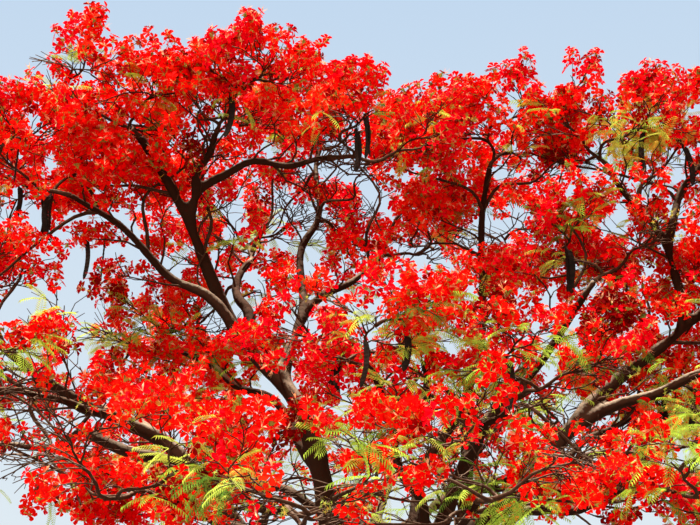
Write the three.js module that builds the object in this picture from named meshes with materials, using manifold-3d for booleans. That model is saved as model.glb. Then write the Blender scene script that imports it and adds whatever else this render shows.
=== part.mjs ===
// A flame tree in full bloom, standing as it grows: a flared trunk that forks low down, wide sinuous
// boughs, and a layered, umbrella-like head of scarlet blossom with feathery leaves and hanging pods.
// Millimetres, +Z up. The origin is the middle of the trunk's flat foot, level with the ground, and
// the tree's usual front faces -Y.

import * as THREE from "three";
import { mergeVertices } from "three/addons/utils/BufferGeometryUtils.js";
import Module from "manifold-3d";

const wasm = await Module();
wasm.setup();

const UP = new THREE.Vector3(0, 0, 1);
const GOLDEN_TURN = Math.PI * (3 - Math.sqrt(5));
const GAP = 0.4; // between a solid's flat sides and its neighbour
const SMALLEST_EDGE = 0.05;

// The trunk
const TRUNK_HEIGHT = 2350;
const TRUNK_LEAN = new THREE.Vector3(220, 90, 0); // of the fork, from the foot's middle
const TRUNK_FOOT_RADIUS = 320;
const TRUNK_FORK_RADIUS = 240;
const TRUNK_SHOULDER = 0.72; // how far the section draws in at the very top
const ROOT_FLARE = 300; // how far the root ridges stand out of the foot
const ROOT_FLARE_HEIGHT = 380;
const ROOT_RIDGES = 5;
const TRUNK_SIDES = 25;
const TRUNK_RINGS = 7;

// The boughs
const TIP_RADIUS = 26; // where a bough enters its mass of blossom
const TIP_SHARE = 0.3; // of the radius at the start, if that is thicker
const TAPER = 0.85;
const COLLAR = 0.35; // how much a bough swells where it springs from another
const COLLAR_LENGTH = 0.09; // of the bough's length
const SWAY = 0.035; // sideways swing of a bough, as a share of its length
const FOLLOW = 0.85; // how much a bough sets out along the one it springs from
const SPRING = 0.42; // length of the curve's handles, as a share of the bough's length
const TIP_DEPTH = 0.5; // how deep a bough's tip lies in its mass, from the rim (1) to the middle (0)
const BOUGH_RINGS = 6;
const THICK_BOUGH = 100; // radius from which a bough has more sides

// The masses of blossom
const MASS_DEPTH = 0.55; // half depth as a share of half width
const CELL_SQUASH = 2; // heights count double when two masses share out the space between them
const CELL_MARGIN = 40; // kept clear on each side of the border between two masses
const HUB_DROP = 0.35; // of the half depth, from the mass's middle down to where its stem forks
const STEM_RADIUS = 26;
const STEM_SUNK = 45; // of the stem's root in its bough
const STEM_STATIONS = [0.5, 0.75, 0.93]; // along the stem, where twigs and sprays may spring from it
const TWIGS = 5;
const TWIG_REACH = 0.55; // of the mass's half width
const TWIG_RADIUS = 20;
const TWIG_WIDEST = 0.15; // of the way along
const TWIG_STATIONS = [0.4, 0.6, 0.8];
const SPRAYS = 12;
const LOWEST_SPRAY = -0.4; // of the mass's half depth
const SPRAY_WIDTH = 0.46; // of its length
const SPRAY_THICKNESS = 0.24;
const SPRAY_WIDEST = 0.6; // of the way along
const ROOT_SUNK = 3; // of a spray's root past the middle of its twig
const LIMB_CLEARANCE = 12; // of a spray from every limb
const ROOT_CHOICES = 3; // of free stations, for each spray
const BEAD_SHARES = [0.2, 0.35, 0.5, 0.65, 0.8, 0.95];
const SHORTENING = [1, 0.9, 0.8, 0.7, 0.6, 0.5];

// The seed pods
const POD_LENGTH = 450;
const POD_WIDTH = 52;
const POD_THICKNESS = 14;
const POD_STALK = 55;
const POD_BOW = 36;
const POD_STATION = 0.5; // along its twig
const POD_SUNK = 15; // of its stalk, above the middle of its twig

// Each bough's name, the limb it springs from and how far along, the place of its mass of blossom
// (heading in degrees from +X, reach from the axis, height), the mass's half width, the bough's
// radius at its start, and how many pods the mass carries.
const BOUGHS = [
  ["left", "trunk", 0.86, 192, 3750, 5800, 1150, 120, 1],
  ["middle", "trunk", 0.96, 204, 2180, 7380, 1150, 130, 0],
  ["right", "trunk", 0.9, 352, 3450, 5950, 1100, 140, 0],
  ["centre", "trunk", 0.98, 349, 2350, 6150, 1050, 100, 2],
  ["back", "trunk", 0.92, 82, 3450, 5300, 1200, 130, 1],
  ["left_front", "left", 0.6, 211, 3450, 4650, 1100, 62, 2],
  ["front_left", "left", 0.3, 236, 3000, 3750, 1200, 75, 0],
  ["left_back", "left", 0.5, 158, 4200, 4950, 1150, 68, 1],
  ["upper_left", "middle", 0.5, 195, 2850, 6830, 1100, 62, 2],
  ["middle_top", "middle", 0.85, 223, 1510, 7350, 1000, 56, 1],
  ["middle_right", "middle_top", 0.3, 283, 1050, 6930, 950, 44, 1],
  ["inner_left", "middle", 0.35, 150, 2100, 5850, 1050, 50, 0],
  ["upper_back_left", "middle", 0.6, 130, 1650, 7080, 1200, 60, 0],
  ["inner_top", "middle", 0.52, 48, 700, 6680, 1000, 60, 0],
  ["top", "inner_top", 0.3, 110, 800, 7950, 1000, 44, 0],
  ["centre_low", "centre", 0.25, 276, 1250, 5080, 1050, 55, 2],
  ["right_low", "centre", 0.5, 313, 2150, 4750, 1000, 50, 1],
  ["top_right", "right", 0.25, 351, 1350, 7350, 1000, 72, 0],
  ["upper_right", "right", 0.93, 344, 2300, 7180, 1050, 48, 1],
  ["right_top", "upper_right", 0.45, 354, 3450, 7450, 1000, 40, 1],
  ["front_right", "right", 0.2, 290, 2800, 3700, 1150, 72, 0],
  ["right_inner", "right", 0.35, 12, 2950, 5100, 1000, 60, 2],
  ["right_outer", "right", 0.65, 348, 4500, 5200, 1080, 56, 0],
  ["right_front", "front_right", 0.35, 318, 3300, 3800, 1100, 48, 0],
  ["front", "front_left", 0.3, 264, 2950, 3450, 1100, 48, 0],
  ["back_left", "back", 0.4, 120, 3650, 5050, 1200, 70, 1],
  ["back_right", "back", 0.5, 51, 3950, 5050, 1200, 66, 1],
  ["upper_back_right", "back", 0.3, 46, 2600, 7050, 1150, 68, 0],
  ["right_back", "back_right", 0.35, 24, 4500, 5100, 1150, 48, 0],
];

const BARK = new THREE.MeshStandardMaterial({ color: 0x5a4438, roughness: 0.9, metalness: 0 });
const BLOSSOM = new THREE.MeshStandardMaterial({ color: 0xe0170c, roughness: 0.6, metalness: 0 });

const along = (from, direction, length) => from.clone().addScaledVector(direction, length);
const towards = (from, to) => to.clone().sub(from).normalize();
const cellPoint = (point) => point.clone().setZ(CELL_SQUASH * point.z);

// A limb's centre line: a cubic curve with a slow sideways swing, and a section that tapers.
class Limb extends THREE.Curve {
  constructor(points, startRadius, tipRadius, sway, phase) {
    super();
    this.bow = new THREE.CubicBezierCurve3(...points);
    this.across = towards(points[0], points[3]).cross(UP).normalize();
    this.sway = sway * points[0].distanceTo(points[3]);
    this.startRadius = startRadius;
    this.tipRadius = tipRadius;
    this.phase = phase;
  }
  getPoint(t) {
    const swing = this.sway * Math.sin(Math.PI * t);
    const point = this.bow.getPoint(t);
    point.addScaledVector(this.across, swing * Math.sin(3 * Math.PI * t + this.phase));
    return point.addScaledVector(UP, 0.6 * swing * Math.sin(4 * Math.PI * t + 2 * this.phase));
  }
  radiusAt(t) {
    const collar = 1 + COLLAR * Math.exp(-t / COLLAR_LENGTH);
    return (this.startRadius + (this.tipRadius - this.startRadius) * t ** TAPER) * collar;
  }
  sectionAt(t, _angle) {
    return this.radiusAt(t);
  }
}

// The trunk has no collar, and its section swells into root ridges near the ground.
class Trunk extends Limb {
  constructor() {
    const fork = TRUNK_LEAN.clone().setZ(TRUNK_HEIGHT);
    const foot = new THREE.Vector3();
    const lowHandle = foot.clone().setZ(TRUNK_HEIGHT / 3);
    const highHandle = fork.clone().setZ((2 * TRUNK_HEIGHT) / 3);
    super([foot, lowHandle, highHandle, fork], TRUNK_FOOT_RADIUS, TRUNK_FORK_RADIUS, 0, 0);
  }
  radiusAt(t) {
    const shoulder = t > 0.999 ? TRUNK_SHOULDER : 1;
    return (this.startRadius + (this.tipRadius - this.startRadius) * t) * shoulder;
  }
  sectionAt(t, angle) {
    const fade = Math.exp((-t * TRUNK_HEIGHT) / ROOT_FLARE_HEIGHT);
    const ridges = Math.cos(ROOT_RIDGES * angle + 0.6 * Math.sin(2 * angle));
    return this.radiusAt(t) + ROOT_FLARE * fade * (0.45 + 0.55 * ridges);
  }
}

function solidOf(geometry) {
  geometry.deleteAttribute("normal");
  geometry.deleteAttribute("uv");
  const merged = mergeVertices(geometry, 1e-3);
  const vertProperties = merged.getAttribute("position").array;
  const triVerts = new Uint32Array(merged.index.array);
  return new wasm.Manifold(new wasm.Mesh({ numProp: 3, vertProperties, triVerts }));
}

// The largest body of a solid, without edges too short to keep.
function wholeOf(solid) {
  const bodies = solid.simplify(SMALLEST_EDGE).decompose();
  return bodies.reduce((largest, body) => (body.volume() > largest.volume() ? body : largest));
}

function meshOf(name, solid, material) {
  const { vertProperties, triVerts } = solid.getMesh();
  const geometry = new THREE.BufferGeometry();
  geometry.setAttribute("position", new THREE.BufferAttribute(vertProperties, 3));
  geometry.setIndex(new THREE.BufferAttribute(triVerts, 1));
  geometry.computeVertexNormals();
  const mesh = new THREE.Mesh(geometry, material);
  mesh.name = name;
  return mesh;
}

// A closed cylinder bent along a limb, its rings closer together near the start. With grow it is
// that much larger on every side.
function limbSolid(limb, sides, rings, grow = 0) {
  const form = new THREE.CylinderGeometry(1, 1, 1, sides, rings);
  const places = form.getAttribute("position");
  for (let i = 0; i < places.count; i++) {
    const [x, y, z] = [places.getX(i), places.getY(i), places.getZ(i)];
    const t = (y + 0.5) ** 1.4;
    const tangent = limb.getTangent(t);
    const outward = limb.across.clone().cross(tangent).normalize();
    const sideways = tangent.clone().cross(outward);
    const radius = limb.sectionAt(t, Math.atan2(z, x)) + grow;
    const place = along(limb.getPoint(t), tangent, 2 * grow * y);
    place.addScaledVector(sideways, x * radius).addScaledVector(outward, z * radius);
    places.setXYZ(i, place.x, place.y, place.z);
  }
  return solidOf(form);
}

// A mass's stem: a three-sided tapering rod that begins inside its bough's tip.
function stemSolid({ from, to }) {
  const direction = towards(from, to);
  const start = along(from, direction, -STEM_SUNK);
  const length = start.distanceTo(to);
  const form = new THREE.CylinderGeometry(TWIG_RADIUS, STEM_RADIUS, length, 3, 1);
  form.applyQuaternion(new THREE.Quaternion().setFromUnitVectors(new THREE.Vector3(0, 1, 0), direction));
  const middle = along(start, direction, length / 2);
  return solidOf(form.translate(middle.x, middle.y, middle.z));
}

// The six corners of an eight-faced blade, pointed at its root and tip: a spray of blossom, or, when
// it is slim, a twig.
function bladeCorners(root, tip, width, thickness, widest) {
  const direction = towards(root, tip);
  const across = direction.clone().cross(UP).normalize();
  const over = across.clone().cross(direction);
  const middle = root.clone().lerp(tip, widest);
  const sides = [along(middle, across, width / 2), along(middle, across, -width / 2)];
  return [...sides, tip, root, along(middle, over, thickness / 2), along(middle, over, -thickness / 2)];
}

function sprayCorners(root, tip) {
  const length = root.distanceTo(tip);
  return bladeCorners(root, tip, SPRAY_WIDTH * length, SPRAY_THICKNESS * length, SPRAY_WIDEST);
}

const twigCorners = (root, tip) => bladeCorners(root, tip, 2 * TWIG_RADIUS, 2 * TWIG_RADIUS, TWIG_WIDEST);

function bladeSolid(corners) {
  const form = new THREE.OctahedronGeometry(1);
  const places = form.getAttribute("position");
  for (let i = 0; i < places.count; i++) {
    const axes = [places.getX(i), places.getY(i), places.getZ(i)];
    const axis = axes.findIndex((value) => Math.abs(value) > 0.5);
    const corner = corners[2 * axis + (axes[axis] > 0 ? 0 : 1)];
    places.setXYZ(i, corner.x, corner.y, corner.z);
  }
  return solidOf(form);
}

// A flat, sabre-shaped pod that hangs by a short stalk from a twig, its broad side facing a heading.
function podSolid({ top, heading }) {
  const half = POD_WIDTH / 2;
  const stalk = POD_THICKNESS / 2;
  const outline = new THREE.Shape();
  outline.moveTo(-stalk, POD_SUNK);
  outline.lineTo(-stalk, -POD_STALK);
  outline.quadraticCurveTo(-half - POD_BOW, -POD_LENGTH / 2, 0, -POD_LENGTH);
  outline.quadraticCurveTo(POD_WIDTH - POD_BOW, -POD_LENGTH / 2, stalk, -POD_STALK);
  outline.lineTo(stalk, POD_SUNK);
  const flat = { depth: POD_THICKNESS, bevelEnabled: false, curveSegments: 3 };
  const form = new THREE.ExtrudeGeometry(outline, flat);
  form.translate(0, 0, -POD_THICKNESS / 2);
  form.rotateX(Math.PI / 2).rotateZ(heading);
  return solidOf(form.translate(top.x, top.y, top.z));
}

// Where each bough runs and where its mass of blossom lies.
const limbs = new Map([["trunk", { name: "trunk", curve: new Trunk() }]]);
for (const [order, row] of BOUGHS.entries()) {
  const [name, from, at, heading, reach, height, spread, radius, podCount] = row;
  const middle = new THREE.Vector3(reach, 0, height).applyAxisAngle(UP, THREE.MathUtils.degToRad(heading));
  const radii = new THREE.Vector3(spread, spread, spread * MASS_DEPTH);
  const parent = limbs.get(from).curve;
  const start = parent.getPoint(at);
  const aim = towards(start, middle);
  const rim = 1 / aim.clone().divide(radii).length();
  const tip = along(middle, aim, -TIP_DEPTH * rim);
  const handle = SPRING * start.distanceTo(tip);
  const leaving = parent.getTangent(at).multiplyScalar(FOLLOW).add(aim).normalize();
  const arriving = aim.clone().setZ(0.7 * aim.z).normalize();
  const points = [start, along(start, leaving, handle), along(tip, arriving, -handle), tip];
  const curve = new Limb(points, radius, Math.max(TIP_RADIUS, TIP_SHARE * radius), SWAY, order);
  limbs.set(name, { name, order, curve, radius, tip, middle, radii, spread, podCount });
}
const masses = [...limbs.values()].filter((limb) => limb.middle);

// The borders of each mass's own space, towards every other mass.
for (const mass of masses) {
  const others = masses.filter((other) => other !== mass);
  mass.borders = others.map((other) => {
    const apart = cellPoint(other.middle).sub(cellPoint(mass.middle));
    const distance = apart.length();
    const shift = (mass.spread ** 2 - other.spread ** 2) / (2 * distance);
    return { direction: apart.normalize(), reach: distance / 2 + shift - CELL_MARGIN };
  });
}

const inBorders = (mass, point) => {
  const here = cellPoint(point).sub(cellPoint(mass.middle));
  return mass.borders.every(({ direction, reach }) => here.dot(direction) < reach);
};

// Beads down the middle of every limb, twig and spray, each with the half thickness there. Two
// pieces are clear of each other when their beads are.
const LIMB_BEADS = 80;
const limbBeads = [...limbs.values()].flatMap(({ curve }) =>
  Array.from({ length: LIMB_BEADS + 1 }, (_, i) => ({
    point: curve.getPoint(i / LIMB_BEADS),
    half: curve.radiusAt(i / LIMB_BEADS),
  })),
);

function beadsOf(corners, widest) {
  const half = (corners[0].distanceTo(corners[1]) + corners[4].distanceTo(corners[5])) / 4;
  return BEAD_SHARES.map((share) => ({
    point: corners[3].clone().lerp(corners[2], share),
    half: half * Math.min(share / widest, (1 - share) / (1 - widest)),
  }));
}

function clearOf(beads, others, clearance) {
  return beads.every((bead) =>
    others.every((other) => bead.point.distanceTo(other.point) > bead.half + other.half + clearance),
  );
}

const nearerTo = (goal) => (a, b) => a.distanceTo(goal) - b.distanceTo(goal);
const stationsOn = ({ from, to }, shares) => shares.map((share) => from.clone().lerp(to, share));

// A mass's framework: its stem from the bough's tip to a hub, twigs out from there, each from the
// nearest free station on those before it, and sprays from the stations left over out to points
// spread evenly over the rim. What would leave the mass's space or touch a limb or another spray is
// shortened or left out.
function frameworkOf(mass) {
  const depth = mass.radii.z;
  const stem = { from: mass.tip, to: along(mass.middle, UP, -HUB_DROP * depth) };
  const stations = stationsOn(stem, STEM_STATIONS);
  const twigs = [];
  for (let i = 0; i < TWIGS; i++) {
    const turn = mass.order + i * GOLDEN_TURN;
    const reach = TWIG_REACH * mass.spread * (0.85 + (0.3 * ((i * 2) % TWIGS)) / TWIGS);
    const end = along(mass.middle, UP, depth * (-0.1 + (0.4 * i) / TWIGS));
    end.add(new THREE.Vector3(reach * Math.cos(turn), reach * Math.sin(turn), 0));
    const [from] = stations.slice().sort(nearerTo(end));
    const tries = SHORTENING.map((share) => twigCorners(from, from.clone().lerp(end, share)));
    const twig = tries.find((corners) => {
      const beads = beadsOf(corners, TWIG_WIDEST);
      return inBorders(mass, corners[2]) && clearOf(beads, limbBeads, LIMB_CLEARANCE);
    });
    if (twig) {
      twigs.push(twig);
      stations.splice(stations.indexOf(from), 1);
      stations.push(...stationsOn({ from, to: twig[2] }, TWIG_STATIONS));
    }
  }
  const sprays = [];
  const sprayBeads = [];
  for (let i = 0; i < SPRAYS; i++) {
    const lift = 0.96 - ((0.96 - LOWEST_SPRAY) * (i + 0.5)) / SPRAYS;
    const turn = 2 * mass.order + i * GOLDEN_TURN;
    const level = Math.sqrt(1 - lift * lift);
    const outward = new THREE.Vector3(level * Math.cos(turn), level * Math.sin(turn), lift);
    const rim = outward.multiply(mass.radii).add(mass.middle);
    const roots = stations.slice().sort(nearerTo(rim)).slice(0, ROOT_CHOICES);
    const triesAt = (share) => roots.map((root) => ({ root, tip: root.clone().lerp(rim, share) }));
    const tries = SHORTENING.flatMap(triesAt);
    for (const { root, tip } of tries) {
      const corners = sprayCorners(along(root, towards(root, tip), -ROOT_SUNK), tip);
      const beads = beadsOf(corners, SPRAY_WIDEST);
      const inside = [0, 1, 2, 4, 5].every((corner) => inBorders(mass, corners[corner]));
      if (inside && clearOf(beads, limbBeads, LIMB_CLEARANCE) && clearOf(beads, sprayBeads, 0)) {
        sprays.push(corners);
        sprayBeads.push(...beads);
        stations.splice(stations.indexOf(root), 1);
        break;
      }
    }
  }
  const pods = [];
  const frontToBack = (a, b) => a[2].y - b[2].y;
  for (const [, , tip, root] of twigs.slice().sort(frontToBack)) {
    const top = root.clone().lerp(tip, POD_STATION);
    const foot = along(top, UP, -POD_LENGTH);
    const beads = BEAD_SHARES.map((share) => ({ point: top.clone().lerp(foot, share), half: POD_WIDTH / 2 }));
    if (pods.length < mass.podCount && inBorders(mass, foot) && clearOf(beads, limbBeads, LIMB_CLEARANCE)) {
      pods.push({ top, heading: mass.order + pods.length });
    }
  }
  return { stem, twigs, sprays, pods };
}

const group = new THREE.Group();
const grown = [];
for (const limb of limbs.values()) {
  const boughSides = limb.radius >= THICK_BOUGH ? 7 : 6;
  const [sides, rings] = limb.name === "trunk" ? [TRUNK_SIDES, TRUNK_RINGS] : [boughSides, BOUGH_RINGS];
  let solid = limbSolid(limb.curve, sides, rings);
  if (grown.length > 0) {
    solid = solid.subtract(wasm.Manifold.union(grown));
  }
  grown.push(limbSolid(limb.curve, sides, rings, GAP));
  group.add(meshOf(limb.name === "trunk" ? "trunk" : `bough_${limb.name}`, wholeOf(solid), BARK));
}
const allLimbs = wasm.Manifold.union(grown);
for (const mass of masses) {
  const { stem, twigs, sprays, pods } = frameworkOf(mass);
  const blades = [...twigs, ...sprays].map(bladeSolid);
  const whole = wasm.Manifold.union([stemSolid(stem), ...blades, ...pods.map(podSolid)]);
  group.add(meshOf(`blossom_${mass.name}`, wholeOf(whole.subtract(allLimbs)), BLOSSOM));
}

export default group;
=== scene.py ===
# A flame tree in full scarlet bloom, as it stands in the open: the trunk first, then the boughs that
# fork from it, the twigs that carry on from their tips, and last what the twigs bear. Metres, +Z up,
# the trunk's foot at the origin, and the usual front towards -Y.

import math

import bmesh
import bpy
import numpy as np
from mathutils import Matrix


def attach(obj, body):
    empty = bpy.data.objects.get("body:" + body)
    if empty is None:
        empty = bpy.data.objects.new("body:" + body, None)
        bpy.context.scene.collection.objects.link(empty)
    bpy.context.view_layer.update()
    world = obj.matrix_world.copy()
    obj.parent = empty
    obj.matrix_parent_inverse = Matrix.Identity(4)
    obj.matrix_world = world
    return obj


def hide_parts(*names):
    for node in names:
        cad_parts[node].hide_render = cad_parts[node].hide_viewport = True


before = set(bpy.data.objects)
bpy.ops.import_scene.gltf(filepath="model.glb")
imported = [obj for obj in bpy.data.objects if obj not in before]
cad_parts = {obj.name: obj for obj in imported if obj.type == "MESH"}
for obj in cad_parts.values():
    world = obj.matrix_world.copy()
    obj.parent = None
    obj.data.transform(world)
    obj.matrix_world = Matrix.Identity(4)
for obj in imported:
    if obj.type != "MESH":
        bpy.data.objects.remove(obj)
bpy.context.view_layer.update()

# The trunk
# One stem of soft, pale wood under thin bark. It leans a little, thins towards the fork, and swells
# into five rounded ridges where the roots leave it, and it is cut level with the ground.
UP = np.array([0.0, 0.0, 1.0])
TRUNK_HEIGHT = 2.35
TRUNK_LEAN = np.array([0.22, 0.09, 0.0])
TRUNK_FOOT_RADIUS = 0.32
TRUNK_FORK_RADIUS = 0.24
TRUNK_SHOULDER = 0.72
ROOT_FLARE = 0.3
ROOT_FLARE_HEIGHT = 0.38
ROOT_RIDGES = 5
RIDGE_SHIFT = 0.6
EVEN_FLARE = 0.45  # of the flare, all round
RIDGE_FLARE = 0.55  # of the flare, in the ridges
TRUNK_SIDES = 60
TRUNK_RINGS = 40
RING_CROWDING = 1.4
UNDER_GROUND = 0.06  # drawn below the cut, then taken off by it
CROTCH_RISE = 0.45  # the wood that closes the fork from within


def unit(vector):
    return vector / np.linalg.norm(vector, axis=-1, keepdims=True)


class Limb:
    """A centre line, a cubic curve with a slow sideways swing, and a section that tapers."""

    TAPER = 0.85
    COLLAR = 0.35
    COLLAR_LENGTH = 0.09
    SIDE_WAVES = 3  # half waves along the limb
    RISE_WAVES = 4
    RISE_SHARE = 0.6
    STEP = 1e-4

    def __init__(self, corners, start_radius, tip_radius, sway, phase):
        self.corners = corners
        chord = corners[3] - corners[0]
        self.across = unit(np.cross(unit(chord), UP))
        self.sway = sway * np.linalg.norm(chord)
        self.start_radius = start_radius
        self.tip_radius = tip_radius
        self.phase = phase

    def point(self, t):
        t = np.asarray(t, float)[..., None]
        a, b, c, d = self.corners
        bow = (1 - t) ** 3 * a + 3 * (1 - t) ** 2 * t * b + 3 * (1 - t) * t**2 * c + t**3 * d
        swing = self.sway * np.sin(np.pi * t)
        aside = swing * np.sin(self.SIDE_WAVES * np.pi * t + self.phase) * self.across
        rise = self.RISE_SHARE * swing * np.sin(self.RISE_WAVES * np.pi * t + 2 * self.phase) * UP
        return bow + aside + rise

    def tangent(self, t):
        t = np.asarray(t, float)
        ahead = self.point(np.minimum(t + self.STEP, 1))
        behind = self.point(np.maximum(t - self.STEP, 0))
        return unit(ahead - behind)

    def radius(self, t):
        collar = 1 + self.COLLAR * np.exp(-t / self.COLLAR_LENGTH)
        return (self.start_radius + (self.tip_radius - self.start_radius) * t**self.TAPER) * collar

    def section(self, t, angle):
        return self.radius(t)


class Trunk(Limb):
    """No collar, and root ridges that stand out of the foot."""

    AT_FORK = 0.999

    def __init__(self):
        foot = np.zeros(3)
        fork = TRUNK_LEAN + TRUNK_HEIGHT * UP
        low_handle = TRUNK_HEIGHT / 3 * UP
        high_handle = TRUNK_LEAN + 2 * TRUNK_HEIGHT / 3 * UP
        corners = np.array([foot, low_handle, high_handle, fork])
        super().__init__(corners, TRUNK_FOOT_RADIUS, TRUNK_FORK_RADIUS, 0, 0)

    def radius(self, t):
        shoulder = np.where(t > self.AT_FORK, TRUNK_SHOULDER, 1)
        return (self.start_radius + (self.tip_radius - self.start_radius) * t) * shoulder

    def section(self, t, angle):
        fade = np.exp(-t * TRUNK_HEIGHT / ROOT_FLARE_HEIGHT)
        ridges = np.cos(ROOT_RIDGES * angle + RIDGE_SHIFT * np.sin(2 * angle))
        stem = self.start_radius + (self.tip_radius - self.start_radius) * t
        return stem + ROOT_FLARE * fade * (EVEN_FLARE + RIDGE_FLARE * ridges)


def limb_tube(limb, sides, rings, below=0.0, above=0.0):
    """Points and faces of a closed tube along a limb, its rings closer together near the start."""
    shares = np.linspace(0, 1, rings) ** RING_CROWDING
    angles = np.linspace(0, 2 * np.pi, sides, endpoint=False)
    tangents = limb.tangent(shares)
    outward = unit(np.cross(limb.across, tangents))
    sideways = np.cross(tangents, outward)
    middles = limb.point(shares)
    radii = limb.section(shares[:, None], angles[None, :])
    radii = np.broadcast_to(radii, (rings, sides))[..., None]
    cosines = np.cos(angles)[None, :, None]
    sines = np.sin(angles)[None, :, None]
    around = cosines * sideways[:, None] + sines * outward[:, None]
    points = middles[:, None] + radii * around
    if below:
        points = np.concatenate([points[:1] - below * UP, points])
        rings += 1
    ends = np.array([points[0].mean(axis=0), points[-1].mean(axis=0) + above * UP])
    points = np.concatenate([points.reshape(-1, 3), ends])
    faces = []
    for ring in range(rings - 1):
        for side in range(sides):
            here = ring * sides + side
            beside = ring * sides + (side + 1) % sides
            faces.append((here, beside, beside + sides, here + sides))
    first, last = len(points) - 2, len(points) - 1
    for side in range(sides):
        beside = (side + 1) % sides
        faces.append((first, beside, side))
        faces.append((last, last - 1 - sides + side, last - 1 - sides + beside))
    return points, faces


# The boughs
# Living limbs that spring from the fork and from each other, sinuous and nearly level, and taper to
# where they enter a mass of blossom. Each swells a little at its root, where its wood grips the limb.
TIP_RADIUS = 0.026
TIP_SHARE = 0.3
SWAY = 0.035
FOLLOW = 0.85
SPRING = 0.42
TIP_DEPTH = 0.5
MASS_DEPTH = 0.55
LEVELLED = np.array([1, 1, 0.7])  # a limb arrives more level than it aims
# name, limb it springs from, how far along, heading in degrees, reach, height, half width of its
# mass of blossom, radius at its start, pods in its mass
BOUGHS = [
    ("left", "trunk", 0.86, 192, 3.75, 5.8, 1.15, 0.12, 1),
    ("middle", "trunk", 0.96, 204, 2.18, 7.38, 1.15, 0.13, 0),
    ("right", "trunk", 0.9, 352, 3.45, 5.95, 1.1, 0.14, 0),
    ("centre", "trunk", 0.98, 349, 2.35, 6.15, 1.05, 0.1, 2),
    ("back", "trunk", 0.92, 82, 3.45, 5.3, 1.2, 0.13, 1),
    ("left_front", "left", 0.6, 211, 3.45, 4.65, 1.1, 0.062, 2),
    ("front_left", "left", 0.3, 236, 3.0, 3.75, 1.2, 0.075, 0),
    ("left_back", "left", 0.5, 158, 4.2, 4.95, 1.15, 0.068, 1),
    ("upper_left", "middle", 0.5, 195, 2.85, 6.83, 1.1, 0.062, 2),
    ("middle_top", "middle", 0.85, 223, 1.51, 7.35, 1.0, 0.056, 1),
    ("middle_right", "middle_top", 0.3, 283, 1.05, 6.93, 0.95, 0.044, 1),
    ("inner_left", "middle", 0.35, 150, 2.1, 5.85, 1.05, 0.05, 0),
    ("upper_back_left", "middle", 0.6, 130, 1.65, 7.08, 1.2, 0.06, 0),
    ("inner_top", "middle", 0.52, 48, 0.7, 6.68, 1.0, 0.06, 0),
    ("top", "inner_top", 0.3, 110, 0.8, 7.95, 1.0, 0.044, 0),
    ("centre_low", "centre", 0.25, 276, 1.25, 5.08, 1.05, 0.055, 2),
    ("right_low", "centre", 0.5, 313, 2.15, 4.75, 1.0, 0.05, 1),
    ("top_right", "right", 0.25, 351, 1.35, 7.35, 1.0, 0.072, 0),
    ("upper_right", "right", 0.93, 344, 2.3, 7.18, 1.05, 0.048, 1),
    ("right_top", "upper_right", 0.45, 354, 3.45, 7.45, 1.0, 0.04, 1),
    ("front_right", "right", 0.2, 290, 2.8, 3.7, 1.15, 0.072, 0),
    ("right_inner", "right", 0.35, 12, 2.95, 5.1, 1.0, 0.06, 2),
    ("right_outer", "right", 0.65, 348, 4.5, 5.2, 1.08, 0.056, 0),
    ("right_front", "front_right", 0.35, 318, 3.3, 3.8, 1.1, 0.048, 0),
    ("front", "front_left", 0.3, 264, 2.95, 3.45, 1.1, 0.048, 0),
    ("back_left", "back", 0.4, 120, 3.65, 5.05, 1.2, 0.07, 1),
    ("back_right", "back", 0.5, 51, 3.95, 5.05, 1.2, 0.066, 1),
    ("upper_back_right", "back", 0.3, 46, 2.6, 7.05, 1.15, 0.068, 0),
    ("right_back", "back_right", 0.35, 24, 4.5, 5.1, 1.15, 0.048, 0),
]


class Mass:
    """What one bough bears: where its tip ends, and the flattened round space that it fills."""

    def __init__(self, order, row, limbs):
        self.name, parent, at, heading, reach, height, self.spread, radius, self.pod_count = row
        self.order = order
        turn = math.radians(heading)
        self.middle = np.array([reach * math.cos(turn), reach * math.sin(turn), height])
        self.radii = self.spread * np.array([1, 1, MASS_DEPTH])
        start = limbs[parent].point(at)
        aim = unit(self.middle - start)
        rim = 1 / np.linalg.norm(aim / self.radii)
        self.tip = self.middle - TIP_DEPTH * rim * aim
        handle = SPRING * np.linalg.norm(self.tip - start)
        leaving = unit(FOLLOW * limbs[parent].tangent(at) + aim)
        arriving = unit(aim * LEVELLED)
        corners = np.array([start, start + leaving * handle, self.tip - arriving * handle, self.tip])
        self.limb = Limb(corners, radius, max(TIP_RADIUS, TIP_SHARE * radius), SWAY, order)


limbs = {"trunk": Trunk()}
masses = []
for order, row in enumerate(BOUGHS):
    mass = Mass(order, row, limbs)
    limbs[mass.name] = mass.limb
    masses.append(mass)

# The skin of the trunk and boughs
# Thin bark, one skin over every limb and rounded into the forks: brown low down, nearly black in the
# head, where the dark is partly painted shade of the crown and painted red light from the blossom, and
# pale on top, partly dust and partly a painted highlight of the sun, with shallow cracks and knots. The
# level cut at the ground closes it.
SKIN_CELL = 0.022
STOUT_BOUGH = 0.09
STOUT_SIDES = 24
SLIM_SIDES = 16
BOUGH_RINGS = 60
FORK_REACH = 0.32
FORK_SOFTNESS = 1.6
GRIP_REACH = 2.6  # of the limb's radius at its root
GRIP_SPARE = 0.06
GRIP_SOFTNESS = 1.5
SOFTNESS_LEVELS = 10
ROUNDING = 0.5
ROUNDING_PASSES = 40
KNOT_DEPTH = 0.012
KNOT_SCALE = 5.0
LUMP_HEIGHT = 0.012
# Up in the head: partly the bark's colour, partly painted shade of the crown, reddened as painted red
# light from the blossom.
DARK_BARK_AND_CROWN_SHADE = (0.026, 0.009, 0.004)
BROWN_BARK = (0.16, 0.106, 0.055)
# Pale on top of the limbs: partly dust, partly a painted highlight of the sun.
BARK_DUST_AND_TOP_LIGHT = (0.56, 0.44, 0.3)
CRACK_COLOUR = (0.02, 0.014, 0.01)
DUST_AND_TOP_LIGHT_FROM = 1.25
BROWN_AT_FOOT = 0.85
BROWN_FADE = 0.4  # for each metre up
CRACKS_FROM = 0.55


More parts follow.
